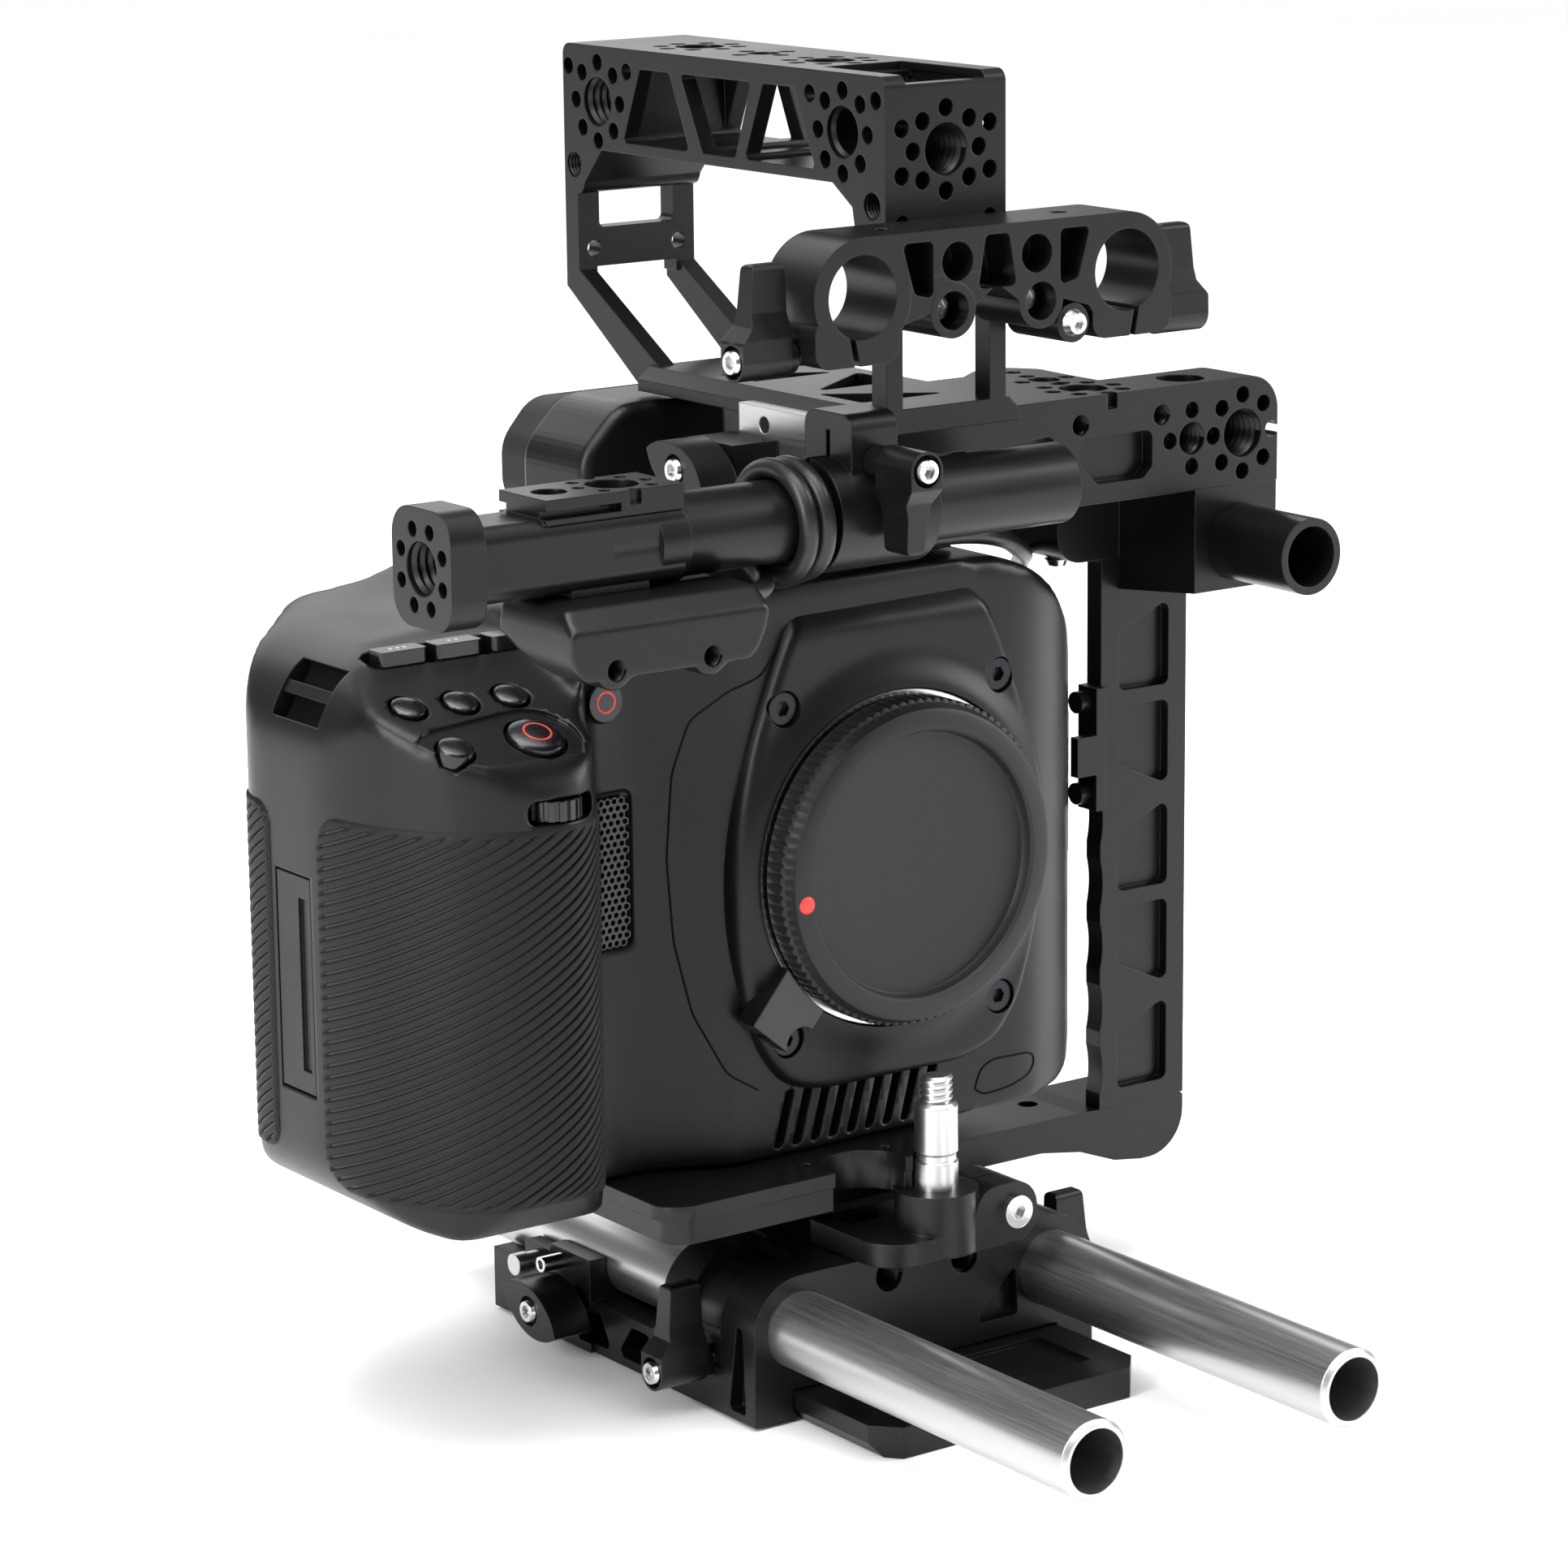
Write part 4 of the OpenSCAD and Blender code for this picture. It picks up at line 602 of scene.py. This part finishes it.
# ---------------------------------------------------------------- seams
def tube(name, points, radius, material, body_name=None, sides=8, closed=False):
    """Round tube along points in metres."""
    bm = bmesh.new()
    rings = []
    n = len(points)
    normal = None
    for i, p in enumerate(points):
        before = points[i - 1] if i or closed else points[0]
        after = points[(i + 1) % n] if i < n - 1 or closed else points[-1]
        along = (after - before).normalized()
        if normal is None:
            normal = along.orthogonal().normalized()
        normal = (normal - along * normal.dot(along)).normalized()
        side = along.cross(normal)
        rings.append([bm.verts.new(p + (normal * math.cos(a) + side * math.sin(a)) * radius)
                      for a in (2 * math.pi * k / sides for k in range(sides))])
    for i in range(n if closed else n - 1):
        a, b = rings[i], rings[(i + 1) % n]
        for k in range(sides):
            j = (k + 1) % sides
            bm.faces.new((a[k], a[j], b[j], b[k]))
    if not closed:
        bm.faces.new(list(reversed(rings[0])))
        bm.faces.new(rings[-1])
    bmesh.ops.recalc_face_normals(bm, faces=bm.faces)
    piece = new_object(name, bm, material)
    if body_name:
        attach(piece, body_name)
    return piece


def seam(name, corners, way, radius=0.22, step=0.8, closed=False):
    """A thin dark joint line on the body: corners in millimetres, thrown on it along way."""
    line, way = [], Vector(way)
    spans = list(zip(corners, corners[1:] + corners[:1])) if closed else list(zip(corners, corners[1:]))
    for a, b in spans:
        a, b = Vector(a), Vector(b)
        for k in range(max(1, int((b - a).length / step))):
            start = a.lerp(b, k / max(1, int((b - a).length / step)))
            line.append(on_surface(plain_surface, (start - way * 30) * MM, way)[0])
    for _ in range(3):
        line = [line[0]] + [(p + q + r) / 3 for p, q, r in zip(line, line[1:], line[2:])] + [line[-1]]
    return tube(name, line, radius * MM, shade_and_seam_black, "rig", 6, closed)


front_panel = [(-22, -30, 150), (-28.6, -30, 141), (-36, -30, 139), (-42.5, -30, 134), (-45.6, -30, 124),
               (-46.7, -30, 108), (-45.7, -30, 92), (-42.7, -30, 78), (-37, -30, 66), (-29.7, -30, 61.5)]
seam("seam_lens_housing", front_panel, (0, 1, 0))
door_oval = [(21.6, -30, 52.6), (23, -30, 56.4), (26, -30, 57.8), (36, -30, 57.4), (37.6, -30, 55.6),
             (36, -30, 53), (30, -30, 51.4), (23.4, -30, 51)]
seam("seam_lower_door", door_oval, (0, 1, 0), closed=True)


# ---------------------------------------------------------------- lens housing
MOUNT_Z, FACE_Y, RING_R = 103, -28.5, 32.5
HOUSING_HALF = [(0, 158), (17, 158), (22, 152), (27, 141), (32.4, 127), (36, 115), (37.2, 104), (36.8, 92),
                (34.4, 80), (30.5, 69), (25, 62), (17, 59.6), (0, 59.6)]


def housing_outline(count):
    """Points of the housing's rounded edge at even angles round the mount."""
    loop = HOUSING_HALF + [(-x, z) for x, z in HOUSING_HALF[-2:0:-1]]
    line = round_corners(loop, 12, 6)
    edge = []
    for k in range(count):
        way = Vector((math.cos(2 * math.pi * k / count), math.sin(2 * math.pi * k / count)))
        far = 0
        for a, b in zip(line, line[1:] + line[:1]):
            a, b = Vector(a) - Vector((0, MOUNT_Z)), Vector(b) - Vector((0, MOUNT_Z))
            side_a, side_b = way.x * a.y - way.y * a.x, way.x * b.y - way.y * b.x
            if (side_a <= 0 < side_b) or (side_b < 0 <= side_a):
                far = max(far, a.lerp(b, side_a / (side_a - side_b)).dot(way))
        edge.append((way, far))
    return edge


def housing_face(x, z, r):
    """The face's depth: flat, with a collar that swells round the mount and a brow that leans back."""
    y = FACE_Y - 1.9 * (1 - smoothstep((r - RING_R) / 8.5)) ** 1.4
    brow = FACE_Y + (z - 148.6) * 1.05
    return 0.5 * (y + brow + math.sqrt((y - brow) ** 2 + 0.6))


def lens_housing():
    count, rows = 240, 26
    edge = housing_outline(count)
    bm = bmesh.new()
    grid = []
    for way, far in edge:
        line = [(RING_R, -18.6)]
        for k in range(rows + 1):
            t = k / rows
            r = RING_R + (far - RING_R) * t
            x, z = way.x * r, MOUNT_Z + way.y * r
            near = max(0.0, 1 - (far - r) / 2.6)
            y = housing_face(x, z, r) + 2.6 * (1 - math.sqrt(max(0.0, 1 - near * near)))
            line.append((r, min(y, -18.8)))
        line += [(far + 0.05, min(line[-1][1] + 1.2, -18.7)), (far + 0.05, -18.6)]
        grid.append([bm.verts.new(Vector((way.x * r, y, MOUNT_Z + way.y * r)) * MM) for r, y in line])
    for k in range(count):
        a, b = grid[k], grid[(k + 1) % count]
        for m in range(len(a)):
            n = (m + 1) % len(a)
            bm.faces.new((a[m], a[n], b[n], b[m]))
    bmesh.ops.recalc_face_normals(bm, faces=bm.faces)
    piece = new_object("lens_housing", bm, housing, smooth=0)
    # Painted shade: the four holes' walls take the near-black.
    for side in (-1, 1):
        for rise in (-1, 1):
            combine(piece, prism(circle(side * 25.2, MOUNT_Z + rise * 31.7, 3.45), 1, -40, -25.4),
                    "DIFFERENCE", shade_and_seam_black)
    piece.data.shade_smooth()
    piece.data.set_sharp_from_angle(angle=math.radians(38))
    return piece


lens_front = lens_housing()
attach(lens_front, "rig")
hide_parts("lens_plate")


# ---------------------------------------------------------------- grilles
def grille(name, corner, along, size, way, pitch=1.55):
    """Perforated plate on the body: size[0] along a level line from a corner, size[1] upwards."""
    bm = bmesh.new()
    corner, along, way = Vector(corner), Vector(along).normalized(), Vector(way).normalized()
    for j in range(int(size[1] / (pitch * 0.866)) + 1):
        for i in range(int(size[0] / pitch) + 1):
            u, v = pitch * (i + 0.5 * (j % 2)), pitch * 0.866 * j
            if u > size[0]:
                continue
            start = (corner + along * u + Vector((0, 0, v)) - way * 30) * MM
            middle, normal = on_surface(plain_surface, start, way)
            normal = Vector((normal.x, normal.y, 0)).normalized()
            across = Vector((0, 0, 1)).cross(normal).normalized()
            up = normal.cross(across)
            middle = middle + normal * 0.1 * MM
            rings = [[bm.verts.new(middle - normal * drop * MM + (
                across * math.cos(a) + up * math.sin(a)) * r * pitch * MM)
                for a in (math.pi / 6 + math.pi / 3 * k for k in range(6))]
                for r, drop in ((0.5774, 0), (0.34, 0), (0.34, 0.7))]
            for a, b in zip(rings, rings[1:]):
                for k in range(6):
                    m = (k + 1) % 6
                    bm.faces.new((a[k], a[m], b[m], b[k]))
    bmesh.ops.remove_doubles(bm, verts=bm.verts, dist=0.00012)
    bmesh.ops.recalc_face_normals(bm, faces=bm.faces)
    piece = new_object(name, bm, keys, smooth=30)
    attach(piece, "rig")
    return piece


grille("grille_left", (-64.6, -30, 93.2), (1, 0, 0), (10.4, 27.6), (0, 1, 0))
grille_frame = [(-65.6, -30, 92.2), (-53.2, -30, 92.2), (-53.2, -30, 121.8), (-65.6, -30, 121.8)]
seam("seam_grille_left", grille_frame, (0, 1, 0), 0.3, closed=True)
grille("grille_right", (58.6, -9, 92), (0.55, 0.83, 0), (8.6, 27.6), (-0.83, 0.55, 0))


# ---------------------------------------------------------------- run/stop box
BOX_SIDE = [(-67, 163.9), (-63, 167.1), (-56, 167.5), (-44, 167.5), (-44, 160.9), (-56, 154.5), (-67, 154.7)]
BOX_FRONT = [(-97, 168), (-55.6, 168), (-55.6, 162), (-59, 154.2), (-93, 153.6), (-97, 158)]
BOX_THREADS = ((-88, 156.4), (-68, 156.4))


def soft_box():
    """The switch box: two outlines crossed, its edges melted, with lobes round its two threads."""
    box = prism(BOX_SIDE, 0, -97, -55.6)
    combine(box, prism(round_corners(BOX_FRONT, 6), 1, -80, -30), "INTERSECT")
    for x, z in BOX_THREADS:
        combine(box, prism(circle(x, z, 3.6), 1, -66.9, -59), "UNION")
    remesh = box.modifiers.new("remesh", "REMESH")
    remesh.mode, remesh.voxel_size = "VOXEL", 0.5 * MM
    ease = box.modifiers.new("ease", "SMOOTH")
    ease.factor, ease.iterations = 0.5, 12
    applied(box)
    combine(box, prism(circle(-50, 174.9, 8.5), 0, -83, -54), "DIFFERENCE")
    # Painted shade: the thread holes' walls take the near-black.
    for x, z in BOX_THREADS:
        combine(box, prism(circle(x, z, 1.95), 1, -70, -60), "DIFFERENCE", shade_and_seam_black)
    box.name = "run_stop_box_soft"
    box.data.materials.clear()
    box.data.materials.append(anodised)
    box.data.shade_smooth()
    box.data.set_sharp_from_angle(angle=math.radians(50))
    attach(box, "control_arm")
    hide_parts("run_stop_box")


soft_box()

# ---------------------------------------------------------------- body cap and mount
CAP_AT = Vector((0, 0, 103))


def ribbed(r, h, a):
    """The cap's grip ribs, between its front and back edges."""
    if r < 30.5 or not 0.8 < h < 5.2:
        return r
    return r - 0.55 * (0.5 + 0.5 * math.cos(a * 96)) ** 2


cap_r = (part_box("body_cap")[1].x) / MM
cap_profile = [(0, 5.4), (24.2, 5.4), (25.0, 5.5), (25.3, 5.9), (25.5, 7.5), (26.0, 8.0), (29.0, 8.0),
               (29.8, 7.6), (30.6, 5.4)]
cap_profile += [(cap_r, 5.1), (cap_r, 4.6), (cap_r, 2.6), (cap_r, 0.9), (cap_r - 0.4, 0.3),
                (24, 0.3), (23.6, -2), (0, -2)]
cap = put(disc("cap_visual", cap_profile, cap_plastic, 768, ribbed), CAP_AT - Vector((0, 30, 0)),
          (0, -1, 0), "cap")
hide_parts("body_cap")
dot = disc("mount_dot", [(0, 0.5), (1.3, 0.42), (1.7, 0.1), (1.75, -0.4)], red_paint, 32)
put(dot, (-27.4, -38.0, 99.6), (0, -1, 0), "cap")


# ---------------------------------------------------------------- threads
def thread(name, place, axis, d, depth, body_name, pitch=None):
    """Helical ridges on the wall of a threaded hole whose mouth is at place."""
    r, pitch = d / 2, pitch or (1.6 if d > 8 else 1.27 if d > 5 else 0.7)
    bm = bmesh.new()
    steps = 28 if d > 5 else 16
    turns = (depth - 0.7) / pitch - 0.5
    rings = []
    for k in range(int(steps * turns) + 1):
        a, down = 2 * math.pi * k / steps, 0.5 * pitch + 0.1 + pitch * k / steps
        rings.append([bm.verts.new((rr * math.cos(a) * MM, rr * math.sin(a) * MM, -(down + dz) * MM))
                      for rr, dz in ((r - 0.01, -pitch * 0.46), (r - pitch * 0.42, 0),
                                     (r - 0.01, pitch * 0.46))])
    for one, two in zip(rings, rings[1:]):
        for m in (0, 1):
            bm.faces.new((one[m], two[m], two[m + 1], one[m + 1]))
    piece = new_object(name, bm, anodised, smooth=30)
    return put(piece, place, axis, body_name)


BIG, SMALL, M4 = 9.525, 6.35, 4.0
HANDLE_SIDE, HANDLE_FRONT = 13.7, -45
arm_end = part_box("arm_end_bracket")[0].x / MM
for k, (place, axis, d, depth, body_name) in enumerate((
        ((0, HANDLE_FRONT, 237.3), (0, -1, 0), BIG, 15, "rig"),
        ((-HANDLE_SIDE, -32.2, 240.3), (-1, 0, 0), BIG, 3.4, "rig"),
        ((-HANDLE_SIDE, 47.1, 240.3), (-1, 0, 0), BIG, 8, "rig"),
        ((HANDLE_SIDE, -32.2, 240.3), (1, 0, 0), BIG, 3.4, "rig"),
        ((HANDLE_SIDE, 47.1, 240.3), (1, 0, 0), BIG, 8, "rig"),
        ((-HANDLE_SIDE, -41, 227.6), (-1, 0, 0), 5, 6, "rig"),
        ((-HANDLE_SIDE, 55.6, 227.6), (-1, 0, 0), 5, 6, "rig"),
        ((arm_end, -50, 174.9), (-1, 0, 0), BIG, 10, "control_arm"),
        ((83.4, -31, 175.5), (0, -1, 0), BIG, 10, "rig"),
        ((70.5, -31, 175.7), (0, -1, 0), SMALL, 10, "rig"),
        ((42.9, -31, 181), (0, -1, 0), M4, 5, "rig"),
        ((62.9, -31, 181), (0, -1, 0), M4, 5, "rig"),
        ((-88, -67, 156.4), (0, -1, 0), M4, 6, "control_arm"),
        ((-68, -67, 156.4), (0, -1, 0), M4, 6, "control_arm"),
        ((-9, -38, 24.3), (0, -1, 0), SMALL, 12, "rig"),
        ((9, -38, 24.3), (0, -1, 0), SMALL, 12, "rig"),
        ((50.6, -22.3, 186.4), (0, 0, 1), BIG, 10, "rig"),
        ((51.8, -8.9, 186.4), (0, 0, 1), SMALL, 9, "rig"),
        ((0, 0, 0), (0, 0, -1), BIG, 6, "dovetail"))):
    thread(f"thread_{k:02d}", place, axis, d, depth, body_name)


# ---------------------------------------------------------------- the post
STUD_CORE, STUD_R, STUD_Z = 2.7, 3.175, (57.4, 63)
post_profile = [(0, 63), (2.2, 63), (STUD_CORE, 62.5), (STUD_CORE, 57.9), (3.5, 57.9), (4.15, 57.2),
                (4.15, 48.2), (3.75, 47.8), (3.75, 46.6), (4.15, 46.2), (4.15, 34), (0, 34)]
post = put(disc("lens_post_turned", post_profile, steel_z, 96), (0, -41, 0), (0, 0, 1), "post")
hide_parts("lens_post")
bm = bmesh.new()
rings = []
for k in range(int(32 * (STUD_Z[1] - STUD_Z[0] - 1.2) / 1.27)):
    a, z = 2 * math.pi * k / 32, STUD_Z[0] + 0.9 + 1.27 * k / 32
    rings.append([bm.verts.new(Vector((r * math.cos(a), r * math.sin(a), z + dz)) * MM)
                  for r, dz in ((STUD_CORE - 0.05, -0.6), (STUD_R, -0.1), (STUD_R, 0.1),
                                (STUD_CORE - 0.05, 0.6))])
for one, two in zip(rings, rings[1:]):
    for m in range(3):
        bm.faces.new((one[m], two[m], two[m + 1], one[m + 1]))
bmesh.ops.recalc_face_normals(bm, faces=bm.faces)
put(new_object("stud_thread", bm, steel_z, smooth=30), (0, -41, 0), (0, 0, 1), "post")


# ---------------------------------------------------------------- the lead
LEAD_D = 3.6
FROM_BOX = [(-56, -56, 163.6), (-53.2, -56, 163.5), (-48.6, -54.2, 163.8), (-45.4, -50.6, 164.6)]
TO_PLUG = [(-36.7, -46.6, 163.7), (-35, -41, 162.1), (-31, -35.5, 161.5), (-25, -31, 161.6),
           (-17, -27.5, 161.6), (-8, -25, 161.6), (2, -23.4, 161.6), (12, -22.2, 161.5),
           (20, -21.2, 161.1), (27, -19.8, 160.2), (33, -17.4, 158.8), (39, -13.8, 156.8),
           (45, -9.4, 154), (50, -4.6, 151.8), (54.5, 1, 150), (58.5, 7, 147.8), (62.5, 12.6, 144.6),
           (66.6, 17, 139.6), (70, 20, 133.2), (71.8, 21.6, 126), (72, 22, 118.6), (71.8, 22, 111)]
TUBE_AXIS, COIL_R, COIL_X = (-50, 174.9), 9.55, (-44.4, -37.2)
COIL_FROM, COIL_TO, COIL_STEPS = -1.1, -1.75 + 4 * math.pi, 30


def smooth_line(points, step):
    """Points every `step` along a curve that passes through the given ones."""
    points = [Vector(p) for p in points]
    ends = [points[0] * 2 - points[1]] + points + [points[-1] * 2 - points[-2]]
    dense = []
    for p0, p1, p2, p3 in zip(ends, ends[1:], ends[2:], ends[3:]):
        for k in range(12):
            t = k / 12
            dense.append(0.5 * (2 * p1 + (p2 - p0) * t + (2 * p0 - 5 * p1 + 4 * p2 - p3) * t * t
                                + (3 * p1 - p0 - 3 * p2 + p3) * t ** 3))
    dense.append(points[-1])
    lengths = [0.0]
    for a, b in zip(dense, dense[1:]):
        lengths.append(lengths[-1] + (b - a).length)
    count, i, line = int(lengths[-1] / step), 0, []
    for k in range(count + 1):
        s = lengths[-1] * k / count
        while i < len(dense) - 2 and lengths[i + 1] < s:
            i += 1
        line.append(dense[i].lerp(dense[i + 1], (s - lengths[i]) / (lengths[i + 1] - lengths[i])))
    return line, lengths[-1]


coil = []
for k in range(COIL_STEPS + 1):
    a = COIL_FROM + (COIL_TO - COIL_FROM) * k / COIL_STEPS
    x = COIL_X[0] + (COIL_X[1] - COIL_X[0]) * k / COIL_STEPS
    coil.append((x, TUBE_AXIS[0] + COIL_R * math.cos(a), TUBE_AXIS[1] + COIL_R * math.sin(a)))
lead_line, lead_length = smooth_line(FROM_BOX + coil + TO_PLUG, 1.2)
lead_line = [p * MM for p in lead_line]
lead = tube("lead", lead_line, LEAD_D / 2 * MM, sheath, None, 12)
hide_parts("lead_box_end", "lead_coil", "lead_camera_end")
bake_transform(lead)
print("lead length", round(lead_length, 1))
